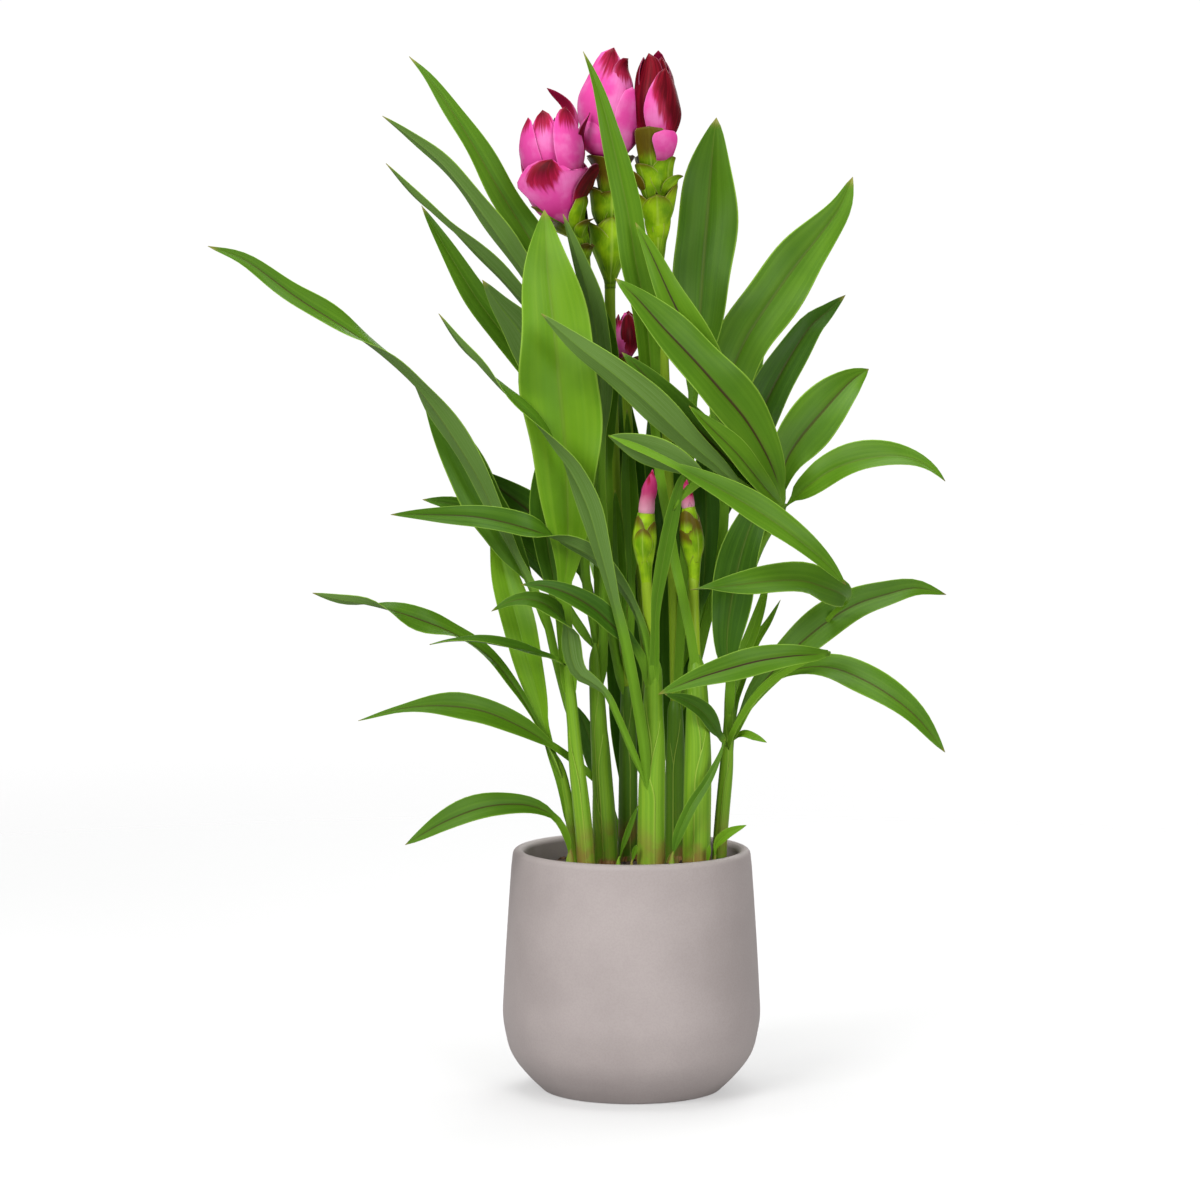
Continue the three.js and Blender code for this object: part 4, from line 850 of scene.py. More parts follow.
            (-4, 234, -16, -175), (-12, 276, -14, -175), (-17, 312, -14, -170), (-20, 345, -18),
            (-26, 378, -18), (-38, 408, -18), (-54, 436, -18), (-68, 458, -18), (-79, 472, -18),
            (-89, 487, -18)]),
        # Narrow young leaves between the stems.
        dict(tone=0.4, rib=0, half=5, stalk=2.2, route=[
            (-2.5, 246, -16), (-5, 282, -9), (-8, 318, -9), (-9, 342, -9), (-10, 362, -8)]),
        dict(tone=0.4, rib=0, half=5, stalk=2.2, route=[
            (-2, 250, -16.5), (0, 300, -10), (-1, 350, -8), (-2, 385, -8), (-3, 410, -10)]),
        # Leaf that leans away to the back.
        dict(tone=0.35, rib=0.8, half=16, level=True, route=[
            (-3, 245, -20), (-14, 300, -45), (-26, 350, -65), (-36, 395, -88), (-42, 430, -110),
            (-45, 450, -130)]),
        # Leaves low between the stems, painted dark as shade by their low tones.
        dict(tone=0.15, rib=0.3, half=6.5, stalk=2.4, route=[
            (-3, 140, -19), (-12, 168, -27), (-20, 196, -33), (-28, 220, -35), (-34, 233, -35)]),
        dict(tone=0.1, rib=0.2, half=11, start=0.02, route=[
            (-2, 160, -20), (-3, 210, -31), (-5, 260, -36), (-7, 310, -40), (-6, 350, -42)]),
    ],
    shoot_back_right=[
        # Broad upright leaf right of the blooms.
        dict(tone=0.35, rib=0.35, half=18.5, start=0.5, widest=0.56, route=[
            (27, 230, -16), (29, 270, -16), (31, 310, -17), (33, 350, -18), (35, 390, -20), (37, 425, -22),
            (40, 460, -25), (42, 490, -29), (44, 516, -34), (46, 540, -40, 5), (48, 565, -48, 5),
            (50, 583, -56)]),
        # Broad leaf that leans to the upper right.
        dict(tone=0.45, rib=0.4, half=17, start=0.43, route=[
            (28, 225, -20), (38, 255, -16), (45, 283, -12), (51, 306, -10), (55, 342, -10), (55, 372, -14),
            (55, 402, -22), (59, 430, -34, 5), (68, 452, -38, 5), (82, 474, -42, 5), (97, 495, -48, 5),
            (112, 514, -54, 5), (124, 531, -60), (131, 548, -66)]),
        # Leaf under it, painted darker as shade by its low tone.
        dict(tone=0.15, rib=0.6, half=12, start=0.4, route=[
            (26.5, 222, -20.5), (36, 250, -30), (43, 282, -32), (48, 318, -34), (54, 348, -36),
            (62, 372, -38), (69, 390, -40, 5), (78, 410, -44, 5), (90, 434, -50, 5), (105, 458, -58, 5),
            (116, 468, -66), (127, 478, -72)]),
        # Short leaf in the shade, painted dark as shade by its low tone.
        dict(tone=0.1, rib=0.2, half=10, route=[
            (26, 246, -18.5), (41, 294, -26), (44, 330, -28), (44, 360, -30), (41, 390, -32)]),
        # Leaves that lean away to the back.
        dict(tone=0.35, rib=0.8, half=15, level=True, route=[
            (26.5, 240, -20), (36, 300, -44), (46, 350, -64), (58, 395, -86), (70, 430, -108),
            (80, 455, -128)]),
        dict(tone=0.35, rib=0.8, half=11, level=True, route=[
            (26.5, 220, -20.5), (32, 258, -50), (35, 290, -80), (37, 308, -112), (38, 312, -144),
            (39, 302, -170)]),
        # Leaf low between the stems, painted dark as shade by its low tone.
        dict(tone=0.1, rib=0.2, half=11, start=0.02, route=[
            (26, 165, -20), (27, 215, -32), (25, 262, -38), (24, 310, -40), (26, 350, -40)]),
    ],
    shoot_far_back=[
        # Leaf behind the hidden bloom, painted dark as shade by its low tone.
        dict(tone=0.1, rib=0.3, half=13, route=[
            (8, 240, -40), (5, 282, -42), (0, 318, -44), (-4, 354, -44), (-6, 384, -44), (-8, 414, -46),
            (-9, 440, -50)]),
        # Leaf beside it, painted dark as shade by its low tone too.
        dict(tone=0.1, rib=0.3, half=12, route=[
            (9.5, 250, -39.5), (20, 294, -44), (22, 342, -48), (18, 384, -50), (12, 420, -52)]),
        # Leaves that lean away to the back.
        dict(tone=0.35, rib=0.8, half=14, level=True, route=[
            (10, 240, -42), (14, 290, -62), (18, 335, -86), (22, 375, -112), (24, 400, -138),
            (25, 412, -160)]),
        dict(tone=0.35, rib=0.8, half=12, level=True, route=[
            (9, 215, -41), (0, 255, -66), (-8, 290, -94), (-14, 312, -124), (-18, 318, -154),
            (-20, 310, -178)]),
        # Leaf low in the middle, painted dark as shade by its low tone.
        dict(tone=0.05, rib=0.2, half=12, start=0.02, route=[
            (10, 160, -41), (11, 215, -50), (13, 270, -55), (14, 320, -58), (14, 365, -60)]),
    ],
    low_leaf=[
        dict(tone=0.35, rib=0.8, half=8, start=0.2, stalk=2.2, route=[
            (-37, 139, 28, -20), (-39, 152, 30, -20), (-47, 165, 36, -25), (-63, 172, 44, -25),
            (-87, 171, 54, -25), (-112, 162, 62, -20), (-136, 148, 68, -15)]),
    ],
    sprout_right_bright=[
        dict(tone=0.9, rib=0, half=3, start=0.05, stalk=1.4, route=[
            (50, 138, 34), (51, 148, 35), (58, 155, 39), (69, 160, 43)]),
    ],
    sprout_right_small=[
        dict(tone=0.8, rib=0, half=2.2, start=0.05, stalk=1.2, route=[
            (45, 134, 40), (46, 141, 41), (47, 148, 42)]),
    ],
    sprout_left=[
        dict(tone=0.4, rib=0.4, half=1.7, start=0.05, stalk=1.4, route=[
            (-8, 136, 34), (-5, 148, 36), (0, 162, 38), (4, 172, 40)]),
    ],
    sprout_front=[
        dict(tone=0.6, rib=0, half=2.6, start=0.05, stalk=1.4, route=[
            (0, 135, 47), (1, 141, 47), (3, 148, 48)]),
    ],
    sprout_centre=[
        dict(tone=0.4, rib=0, half=3.5, start=0.02, widest=0.35, stalk=1.7, route=[
            (24, 138, 48), (28, 154, 48), (36, 172, 47), (45, 186, 45), (52, 200, 41), (56, 212, 37)]),
    ],
)

leaf_green = leaf_finish()
leaf_serial = 0
for name, shapes in LEAVES.items():
    blades = work("tone", "rib", "blade")
    for shape in shapes:
        leaf(blades, leaf_serial, **shape)
        leaf_serial += 1
    finish_piece(f"{name}_leaves", blades, leaf_green, "leaf", name)


# The stems: fleshy yellow-green shoots, each wrapped in the sheaths of its leaves, whose pale
# edges meet in front, with papery red-brown scales round the foot, and the stalks of the heads.

STEM_ROW = 5
STEM_SIDES = 24
SHEATH_THICKNESS = 0.45
SHEATH_EDGE = 0.15
SHEATH_HUG = 104
SHEATH_STANDOFF = 0.35
SHEATH_END = 38
SHEATH_FOOT = SOIL_LEVEL - 6
STEM_DOME = 14
DOME_SHARES = (0, 0.3, 0.55, 0.75, 0.9, 1)
DOME_CLOSE = 0.93
SCALE_HUG = 78
SCALE_START = -70
SCALE_SPREAD = 137.5
# Painted shade: a stem is painted darker the further back it stands, not at all from 14 mm in front of the
# pot's axis, and fully from 26 mm behind it.
STEM_SHADE = (-14, 26)


def tube(bm, line, dome=0.0, **numbers):
    """A round stem along a route whose rows end with its radius. It closes in over its last dome mm,
    and takes its colours as the upper face of a blade does."""
    rows = max(6, round(line.length / STEM_ROW))
    shares = [i / rows for i in range(rows + 1)]
    if dome:
        start = 1 - dome / line.length
        shares = [share for share in shares if share < start]
        shares += [blend(start, 1, share) for share in DOME_SHARES]
    rings = []
    for u in shares:
        point, _, side, face, radius = line.frame(u)
        if dome:
            radius *= math.sqrt(1 - DOME_CLOSE * ease(u, start - 0.01, 1) ** 2)
        ring = []
        for j in range(STEM_SIDES + 1):
            angle = -math.tau * j / STEM_SIDES
            out = side * math.cos(angle) + face * math.sin(angle)
            ring.append((point + out * radius, 0.5 * j / STEM_SIDES))
        rings.append(ring)
    skin(bm, rings, **numbers)


def share_at(line, height):
    """The share of a rising line's length at a height."""
    low, high = 0.0, 1.0
    for _ in range(18):
        middle = (low + high) / 2
        if line.at(middle)[0].z < height:
            low = middle
        else:
            high = middle
    return low


def outward(way, azimuth):
    """The direction out from a line that goes that way, at an angle round it from the right."""
    right = (Vector((1, 0, 0)) - way * way.x).normalized()
    back = way.cross(right)
    return right * math.cos(math.radians(azimuth)) + back * math.sin(math.radians(azimuth))


def sheath(bm, line, azimuth, split, top, standoff, hug, **numbers):
    """A leaf's sheath round a stem: it hugs the stem up to split, and narrows to a stalk at top."""
    rows = max(8, round((top - SHEATH_FOOT) / STEM_ROW))
    rings = []
    for i in range(rows + 1):
        height = blend(SHEATH_FOOT, top, i / rows)
        point, way, radius = line.at(share_at(line, height))
        narrow = ease(height, split, top)
        spread = blend(hug, SHEATH_END, narrow)
        away = radius + standoff - (standoff + SHEATH_THICKNESS) * narrow ** 2

        def spot(s):
            out = outward(way, azimuth + s * spread)
            body = blend(SHEATH_THICKNESS, SHEATH_EDGE, abs(s) ** 3) / 2
            return point + out * away, out, body, body

        rings.append(thin_ring(spot))
    skin(bm, rings, **numbers)


def stem_finish():
    flesh = Finish("stem_green", Roughness=0.4, Specular_IOR_Level=0.16)
    _, round_share, _, from_middle, _ = blade_shares(flesh)
    place = flesh.coordinates()
    height = flesh.node("SeparateXYZ", {0: place}).outputs[2]
    streaks = flesh.grain(round_share, 46, height, 9, 3)
    bands = flesh.grain(round_share, 9, height, 6, 2, 3.0)
    stains = flesh.noise(place, 60, 4)
    flesh.look = flesh.mix(flesh.step(streaks, 0.3, 0.75), tint(98, 142, 30), tint(122, 162, 38))
    flesh.cover(flesh.step(bands, 0.4, 0.75, 0, 0.5), 144, 180, 48)
    flesh.cover(flesh.step(height, 0.2, 0.34, 0, 0.45), 80, 128, 26)
    flesh.cover(flesh.times(flesh.attribute("fresh"), 0.6), 168, 196, 44)
    # Painted shade: stems at the back, in the shade of the front foliage, are painted darker green.
    flesh.cover(flesh.times(flesh.attribute("shade"), 0.75), 44, 82, 14)
    blush = flesh.times(flesh.step(height, 0.134, 0.175, 1, 0), flesh.step(stains, 0.42, 0.62))
    flesh.cover(flesh.times(blush, 0.8), 138, 84, 58)
    edge = flesh.times(flesh.attribute("sheath"), flesh.step(from_middle, 0.93, 0.98))
    flesh.cover(flesh.times(edge, 0.42), 176, 196, 84)
    paper = flesh.mix(flesh.step(streaks, 0.35, 0.65), tint(112, 66, 38), tint(164, 126, 78))
    papery = flesh.times(flesh.attribute("dry"), flesh.step(bands, 0.38, 0.6, 0.25, 0.95))
    flesh.look = flesh.mix(papery, flesh.look, paper)
    flesh.wear()
    flesh.bump(streaks, 0.2, 0.3)
    return flesh.material


# A stem's rows end with its radius. A sheath has its angle round the stem from the right, and the
# heights where it splits and ends. A scale has how far it stands out of the soil.
STEMS = dict(
    shoot_left_outer=dict(
        stem=[(-34, 108, 10, 3), (-35, 150, 10, 3), (-40, 185, 10, 2.6), (-47, 205, 11, 2.4)],
        sheaths=[(200, 150, 185)], scales=[8],
    ),
    shoot_left_inner=dict(
        stem=[(-26, 108, 26, 4.6), (-28, 150, 26, 4.6), (-32, 190, 25, 4.2), (-36, 231, 24, 3.6),
            (-39, 264, 24, 3.2), (-41, 294, 25, 2.8)],
        sheaths=[(170, 185, 232), (-10, 168, 214)], scales=[12, 7],
    ),
    shoot_mid_left=dict(
        stem=[(-15, 108, 5, 6.5), (-16, 150, 5, 6.3), (-19, 200, 5, 5.2), (-21, 240, 5, 4.4),
            (-22, 270, 4, 3.8)],
        flower_stalk=[(-19, 262, 4, 2.8), (-16, 294, -2, 2.8), (-15, 354, -6, 2.8), (-17, 402, -6, 2.8),
            (-21, 444, -4, 2.8), (-25, 474, -2, 2.8), (-27, 492, 3, 2.8), (-28, 506.2, 5, 2.8)],
        sheaths=[(0, 193, 232), (180, 150, 188), (-15, 215, 258)], scales=[16, 7],
    ),
    shoot_centre=dict(
        stem=[(12, 108, 38, 7.5), (12, 160, 38, 7.1), (12.6, 200, 38, 6.6), (13, 235, 38.5, 5.8),
            (13.5, 264, 39.5, 4.4)],
        flower_stalk=[(13, 230, 38, 3.2), (12, 262, 39, 3.2), (9, 300, 40, 3.2), (8.8, 311.4, 40, 3.2)],
        sheaths=[(180, 180, 214), (0, 196, 240), (165, 205, 256)], scales=[10, 15],
    ),
    shoot_right=dict(
        stem=[(38.5, 108, 30, 7.6), (39, 160, 30, 7.6), (39.6, 200, 29, 7.3), (39.6, 235, 27, 6.4),
            (38, 266, 24, 4.6)],
        flower_stalk=[(38.2, 256, 24, 3.2), (37.2, 285, 21, 3.2), (36.9, 311.2, 18, 3.2)],
        sheaths=[(0, 190, 232), (180, 212, 258)], scales=[13, 22, 8],
    ),
    shoot_right_outer=dict(
        stem=[(52, 108, 8, 3.6), (53, 150, 8, 3.6), (58, 210, 8, 3.4), (59, 240, 8, 3.2), (62, 270, 6, 3.2),
            (67, 300, 4, 3), (75, 325, -2, 3), (84, 342, 2, 3.2), (92, 353, 14, 3.4)],
        sheaths=[(0, 182, 212), (180, 196, 236)], scales=[9, 14],
    ),
    shoot_back_left=dict(
        stem=[(-2, 108, -18, 5.5), (-2, 160, -18, 5.2), (-2, 210, -18, 4.6), (-3, 250, -18, 4)],
        flower_stalk=[(-3, 244, -18, 3.2), (-6, 300, -20, 3.2), (-9, 350, -20, 3.2), (-11, 400, -18, 3.2),
            (-12, 440, -16, 3.2), (-13, 470, -14, 3.2), (-13, 491.5, -13, 3.2)],
        sheaths=[(180, 190, 244), (0, 200, 250)], scales=[14, 8],
    ),
    shoot_back_right=dict(
        stem=[(26, 108, -18, 6), (26, 160, -18, 5.6), (26, 210, -18, 5), (26, 240, -18, 4.5)],
        flower_stalk=[(26, 234, -18, 3), (25, 290, -18, 3), (23, 340, -16, 3), (21, 390, -14, 3),
            (19, 440, -12, 3), (17, 480, -10, 3), (16, 505.6, -8, 3)],
        sheaths=[(0, 190, 234), (180, 178, 222)], scales=[14, 20],
    ),
    shoot_far_back=dict(
        stem=[(10, 108, -39, 4.2), (10, 160, -39, 4), (10, 210, -40, 3.6), (10, 240, -40, 3.4)],
        flower_stalk=[(10, 232, -40, 2.8), (6, 300, -40, 2.8), (0, 370, -39, 2.8), (-4, 427.6, -38, 2.8)],
        sheaths=[(180, 190, 232), (0, 200, 238)], scales=[12, 7],
    ),
    low_leaf=dict(stem=[(-38, 108, 28, 2.8), (-37, 138, 28, 2.8), (-37, 146, 28.5, 2.6)]),
    sprout_right_bright=dict(stem=[(49.5, 108, 34, 1.6), (50, 138, 34, 1.6), (50.5, 142, 34, 1.5)]),
    sprout_right_small=dict(stem=[(45, 108, 40, 1.4), (45, 134, 40, 1.4), (45, 138, 40, 1.3)]),
    sprout_left=dict(stem=[(-8, 108, 34, 1.9), (-8, 136, 34, 1.9), (-7, 141, 34.5, 1.8)]),
    sprout_front=dict(stem=[(0, 108, 47, 1.7), (0, 135, 47, 1.7), (0.5, 139, 47, 1.6)]),
    sprout_centre=dict(stem=[(23, 108, 48, 2), (24, 136, 48, 2), (25, 144, 48, 1.9)]),
)

stem_green = stem_finish()
for name, shoot in STEMS.items():
    stems = work("sheath", "dry", "shade", "fresh")
    stem = Route(shoot["stem"])
    shade = ease(-shoot["stem"][0][2], *STEM_SHADE)
    tube(stems, stem, STEM_DOME, shade=shade)
    if "flower_stalk" in shoot:
        tube(stems, Route(shoot["flower_stalk"]), shade=shade / 2, fresh=1)
    layers = shoot.get("sheaths", ())
    for layer, (azimuth, split, top) in enumerate(layers):
        standoff = SHEATH_STANDOFF * (len(layers) - layer)
        sheath(stems, stem, azimuth, split, top, standoff, SHEATH_HUG, sheath=1, shade=shade)
    for count, rise in enumerate(shoot.get("scales", ())):
        azimuth = SCALE_START + count * SCALE_SPREAD
        standoff = SHEATH_STANDOFF * (len(layers) + 1 + count)
        sheath(stems, stem, azimuth, SOIL_LEVEL, SOIL_LEVEL + rise, standoff, SCALE_HUG, sheath=1,
               dry=1, shade=shade)
    finish_piece(f"{name}_stems", stems, stem_green, "leaf", name)


# The heads' green spikes: broad cupped bracts stacked on the stalk, which open at the top into
# recurved brown-edged lips.

BRACT_ROWS = 18
BRACT_THICKNESS = 0.7
BRACT_EDGE = 0.3
BRACT_FOOT = 0.2
BRACT_FOOT_THICKNESS = 0.15
BRACT_LEAST_BOW = 0.6
ROUND_SHOULDER = 2
STRAIGHT_SHOULDER = 1.15

# The lowest bracts of a spike start as a sleeve round the top of its stalk.
SLEEVE = [(-10, 3.3), (-5, 3.7)]
OUTER_SLEEVE = [(-7, 3.8), (-3, 4.2)]

# A head's axis, its core's radius at heights along it, and the height where its pink part starts.
HEADS = dict(
    bloom_left=dict(
        axis=[(-28, 507, 5), (-29, 512, 5), (-34, 521, 5), (-42, 535, 5), (-47, 555, 5), (-49, 594, 5),
            (-50, 612, 5)],
        core=[(0, 3), (8, 4.4), (20, 7), (40, 8), (62, 6), (80, 1)],
        neck=18,
    ),
    bloom_middle=dict(
        axis=[(-13, 492, -13), (-13, 530, -13), (-13, 561, -13), (-14, 618, -13), (-14, 634, -13)],
        core=[(0, 3), (8, 4), (16, 6), (30, 6.4), (44, 5.8), (64, 6.5), (90, 8), (112, 3), (120, 0.6)],
        neck=64,
    ),
    bloom_right=dict(
        axis=[(15.5, 506, -8), (15, 530, -8), (13.5, 558, -8), (13.5, 622, -8), (13.5, 636, -8)],
        core=[(0, 3), (12, 4), (22, 6), (34, 6.4), (52, 6.4), (70, 7), (96, 5), (108, 1)],
        neck=52,
    ),
    bloom_hidden=dict(
        axis=[(-4, 428, -38), (-4, 444, -38), (-4, 470, -38)],
        core=[(0, 3), (6, 4.4), (14, 4), (28, 4), (40, 0.8)],
        neck=12,
    ),
)


def bract(bm, axis, rows, half, azimuth=0, base=0.4, widest=0.55, tip=0.65, cup=1.0, straight=0.0,
          stain=(0, 0.16), **numbers):
    """A bract whose section is bowed round the head's axis. Its midrib is given by places as seen,
    or by heights along the axis and distances from it, at an angle round it from the right. half is
    its half width where it is widest, base the share of that at its foot, and straight how straight
    its sides are. A lower tip makes its point blunter, and a higher cup makes it flatter across."""
    points = []
    for row in rows:
        if len(row) == 3:
            points.append((*seen(*row), 0))
        else:
            middle, way, _ = axis.at(row[0] / axis.length)
            middle += way * min(row[0], 0)
            points.append((*(middle + outward(way, azimuth) * row[1]), 0))
    line = Line(points)
    rings = []
    for i in range(BRACT_ROWS + 1):
        u = i / BRACT_ROWS
        point, forward, _ = line.at(u)
        middle, way, _ = axis.at(share_at(axis, point.z))
        out = point - middle
        out -= way * out.dot(way)
        distance = out.length
        side = way.cross(out)
        side = (side - forward * side.dot(forward)).normalized()
        normal = side.cross(forward)
        if u < widest:
            share = blend(base, 1, blend(ease(u, 0, widest), u / widest, straight))
        else:
            past = (u - widest) / (1 - widest)
            shoulder = blend(ROUND_SHOULDER, STRAIGHT_SHOULDER, straight)
            share = max(1 - past ** shoulder, 0.0) ** tip
        wide = max(half * share, LEAF_TIP)
        bow = max(distance, wide * BRACT_LEAST_BOW) * cup

        def spot(s):
            angle = s * wide / bow
            up = normal * math.cos(angle) + side * math.sin(angle)
            middle = point + side * (bow * math.sin(angle)) - normal * (bow * (1 - math.cos(angle)))
            body = blend(BRACT_THICKNESS, BRACT_EDGE, abs(s) ** 2) / 2
            body *= blend(BRACT_FOOT_THICKNESS, 1, ease(u, 0, BRACT_FOOT))
            return middle, up, body, body

        rings.append(thin_ring(spot))
    if "ripe" in numbers:
        numbers["lean"], numbers["narrow"] = stain
    skin(bm, rings, **numbers)


class AxisRoute:
    """The part of a head's axis from one height to another, with the core's radius there."""

    def __init__(self, axis, core, low, high):
        self.axis = axis
        self.core = core
        self.low = low
        self.high = high
        self.length = high - low

    def radius(self, height):
        for (low, first), (high, last) in zip(self.core, self.core[1:]):
            if height <= high:
                return blend(first, last, max(0.0, (height - low) / (high - low)))
        return self.core[-1][1]

    def frame(self, u):
        height = blend(self.low, self.high, u)
        point, way, _ = self.axis.at(height / self.axis.length)
        side = way.cross(VIEWPOINT - point).normalized()
        return point, way, side, side.cross(way), self.radius(height)


def green_bract_finish():
    green = Finish("bract_green", Roughness=0.38, Specular_IOR_Level=0.14)
    along, round_share, _, from_middle, upper = blade_shares(green)
    streaks = green.grain(along, 2.5, round_share, 44, 3)
    patches = green.noise(green.coordinates(), 90, 3)
    green.look = green.mix(green.step(patches, 0.35, 0.7), tint(102, 146, 6), tint(154, 192, 20))
    # Painted shade: dark green towards the foot of each bract and of the spike's neck, where the bracts
    # overlap and shade each other.
    green.cover(green.times(green.step(along, 0.1, 0.5, 0.8, 0), green.attribute("foot")), 64, 98, 4)
    green.cover(green.step(streaks, 0.45, 0.7, 0, 0.5), 158, 196, 36)
    # Painted highlight: a paler green along the middle of each bract, where its bulge faces the light.
    green.cover(green.step(from_middle, 0.0, 0.12, 0.35, 0), 182, 206, 90)
    start = green.math("SUBTRACT", 1.1, green.attribute("rust"))
    reach = green.math("ADD", along, green.times(green.math("SUBTRACT", streaks, 0.5), 0.35))
    reach = green.math("ADD", reach, green.times(from_middle, 0.12))
    past = green.math("SUBTRACT", reach, start)
    green.cover(green.step(past, -0.1, 0.2, 0, 0.85), 86, 46, 10)
    # A thin pale tan edge: partly the bract's own dry margin and partly a painted highlight along its rim.
    green.cover(green.step(from_middle, 0.94, 0.985, 0, 0.6), 176, 164, 100)
    # Painted shade: the inner face of each bract is painted a darker brown-green, as the shade inside its
    # cup.
    inner = green.mix(0.55, green.look, tint(70, 52, 26))
    green.look = green.mix(upper, inner, green.look)
    green.wear()
    green.bump(streaks, 0.3, 0.3)
    return green.material


# rust is how far a bract's tip is brown.
SPIKES = dict(
    bloom_left=[
        dict(rows=[(-28, 499, 7.4), (-27, 503, 9), (-25, 506.5, 11), (-22, 507, 11)], half=5.5, rust=0.6),
        dict(rows=[(-30, 510, 7.5), (-29, 516, 11), (-26, 521, 13), (-22.5, 523.5, 13)], half=6.5,
             rust=0.5),
        dict(rows=[(-32, 512, 8), (-31.5, 521, 12), (-29, 532, 15), (-28.5, 540, 14)], half=8, rust=0.3),
        dict(rows=[(-36, 519, 8), (-45, 523, 11), (-53, 527, 12), (-60, 530.5, 11)], half=4.5, rust=0.4),
        dict(azimuth=70, rows=[(2, 3.4), (14, 9), (24, 15), (32, 20), (32, 24)], half=11, rust=0.4),
        dict(azimuth=135, rows=[(2, 3.4), (12, 10), (20, 16), (25, 22)], half=11, rust=0.4),
    ],
    bloom_middle=[
        dict(azimuth=-150, rows=[*SLEEVE, (4, 7.2), (14, 11.2), (24, 13.2), (30, 15)], base=0.25, half=14,
             rust=0.12),
        dict(azimuth=-25, rows=[*SLEEVE, (4, 7.2), (14, 11.2), (24, 12.6), (30, 14)], base=0.25, half=14,
             rust=0.12),
        dict(azimuth=-85, rows=[*OUTER_SLEEVE, (4, 7.6), (14, 11.6), (25, 12.4), (33, 12.6)], base=0.25,
             half=14, rust=0.15),
        dict(azimuth=90, rows=[*SLEEVE, (4, 7.2), (14, 11.2), (24, 13.2), (31, 16)], base=0.25, half=15,
             rust=0.2),
        dict(azimuth=-150, rows=[(26, 7), (34, 10.6), (42, 11.4), (47, 12.4), (50, 14)], half=12, rust=0.2),
        dict(azimuth=-30, rows=[(26, 7), (34, 10.6), (42, 11.4), (47, 12.4), (50, 14)], half=12, rust=0.3),
        dict(azimuth=-85, rows=[(28, 7.4), (36, 10.8), (43, 11.4), (48.5, 13)], half=12, rust=0.25),
        dict(azimuth=60, rows=[(26, 7), (38, 11), (46, 13), (52, 16)], half=13, rust=0.3),
        dict(azimuth=150, rows=[(26, 7), (38, 11), (46, 12), (51, 14)], half=12, rust=0.3),
        *[dict(azimuth=turn, rows=[(44, 6.4), (54, 7.6), (61, 9.4), (66, 12.4), (69.5, 16)],
               half=12, rust=0.8)
          for turn in (-140, -55)],
        *[dict(azimuth=turn, rows=[(44, 6.4), (54, 8), (62, 11), (69, 16.5)], half=12, rust=0.7)
          for turn in (35, 130)],
    ],
    bloom_right=[
        dict(azimuth=-90, rows=[*OUTER_SLEEVE, (12, 6.2), (20, 9.6), (27, 11.6), (32, 13)], base=0.25,
             half=13, rust=0.15),
        dict(azimuth=-20, rows=[*SLEEVE, (12, 6), (22, 9.5), (32, 12), (38, 13.6)], base=0.25, half=12,
             rust=0.2),
        dict(azimuth=-160, rows=[*SLEEVE, (12, 6), (22, 9.5), (30, 11.5), (34, 13)], base=0.25, half=12,
             rust=0.2),
        dict(azimuth=90, rows=[*SLEEVE, (14, 7), (26, 10.5), (36, 14)], base=0.25, half=13, rust=0.2),
        dict(rows=[(8, 537, -5), (4, 543, -3), (1.5, 548, -3), (-0.5, 552, -3)], half=6, rust=0.9),
        dict(rows=[(18, 536, -2), (22.5, 542, 1), (26.5, 546.5, 2), (30.3, 548.5, 1)], half=6.5, tip=0.8,
             rust=0.2),
        dict(azimuth=-135, rows=[(27, 7), (36, 9.6), (43, 10.4), (48, 12), (50.5, 14)], half=11, rust=0.18),
        dict(azimuth=-45, rows=[(27, 7), (36, 9.8), (45, 10.6), (51, 12), (54.5, 14.6)], half=11.5,
             rust=0.18),
        dict(azimuth=60, rows=[(28, 7), (38, 9), (48, 10.5), (54, 13)], half=11, rust=0.3),
        dict(azimuth=140, rows=[(28, 7), (38, 9), (48, 10.5), (55, 13)], half=11, rust=0.3),
        dict(rows=[(12, 550, 0.5), (11, 561, 5), (10.4, 570, 7), (10, 578, 8.5)], half=10, base=0.8,
             widest=0.84, tip=0.4, rust=0.74),
        dict(azimuth=110, rows=[(44, 7), (54, 8), (64, 10), (71, 12)], half=11, rust=0.7),
    ],
    bloom_hidden=[
        dict(azimuth=-90, rows=[(0, 3.2), (5, 6), (10, 8.5), (14, 9)], half=8, rust=0.4),
        *[dict(azimuth=turn, rows=[(0, 3.2), (5, 6), (10, 8.5), (14, 10)], half=8, rust=0.4)
          for turn in (30, 150)],
    ],
)

spike_green = green_bract_finish()
for name, shapes in SPIKES.items():
    head = HEADS[name]
    axis = Route(head["axis"])
    spike = work("rust", "foot")
    # foot=1 switches on the painted shade towards the foot of the neck and of each bract.
    tube(spike, AxisRoute(axis, head["core"], 0, head["neck"]), foot=1)
    for shape in shapes:
        bract(spike, axis, foot=1, **shape)
    finish_piece(f"{name}_green_bracts", spike, spike_green, "bract_green", f"{name}_spike")


# The pink heads: large smooth cupped bracts that overlap like a tulip's petals, pale in the
# middle, deep magenta at the base, partly their own colour and partly painted shade where they
# overlap, with maroon tips that run down in streaks.

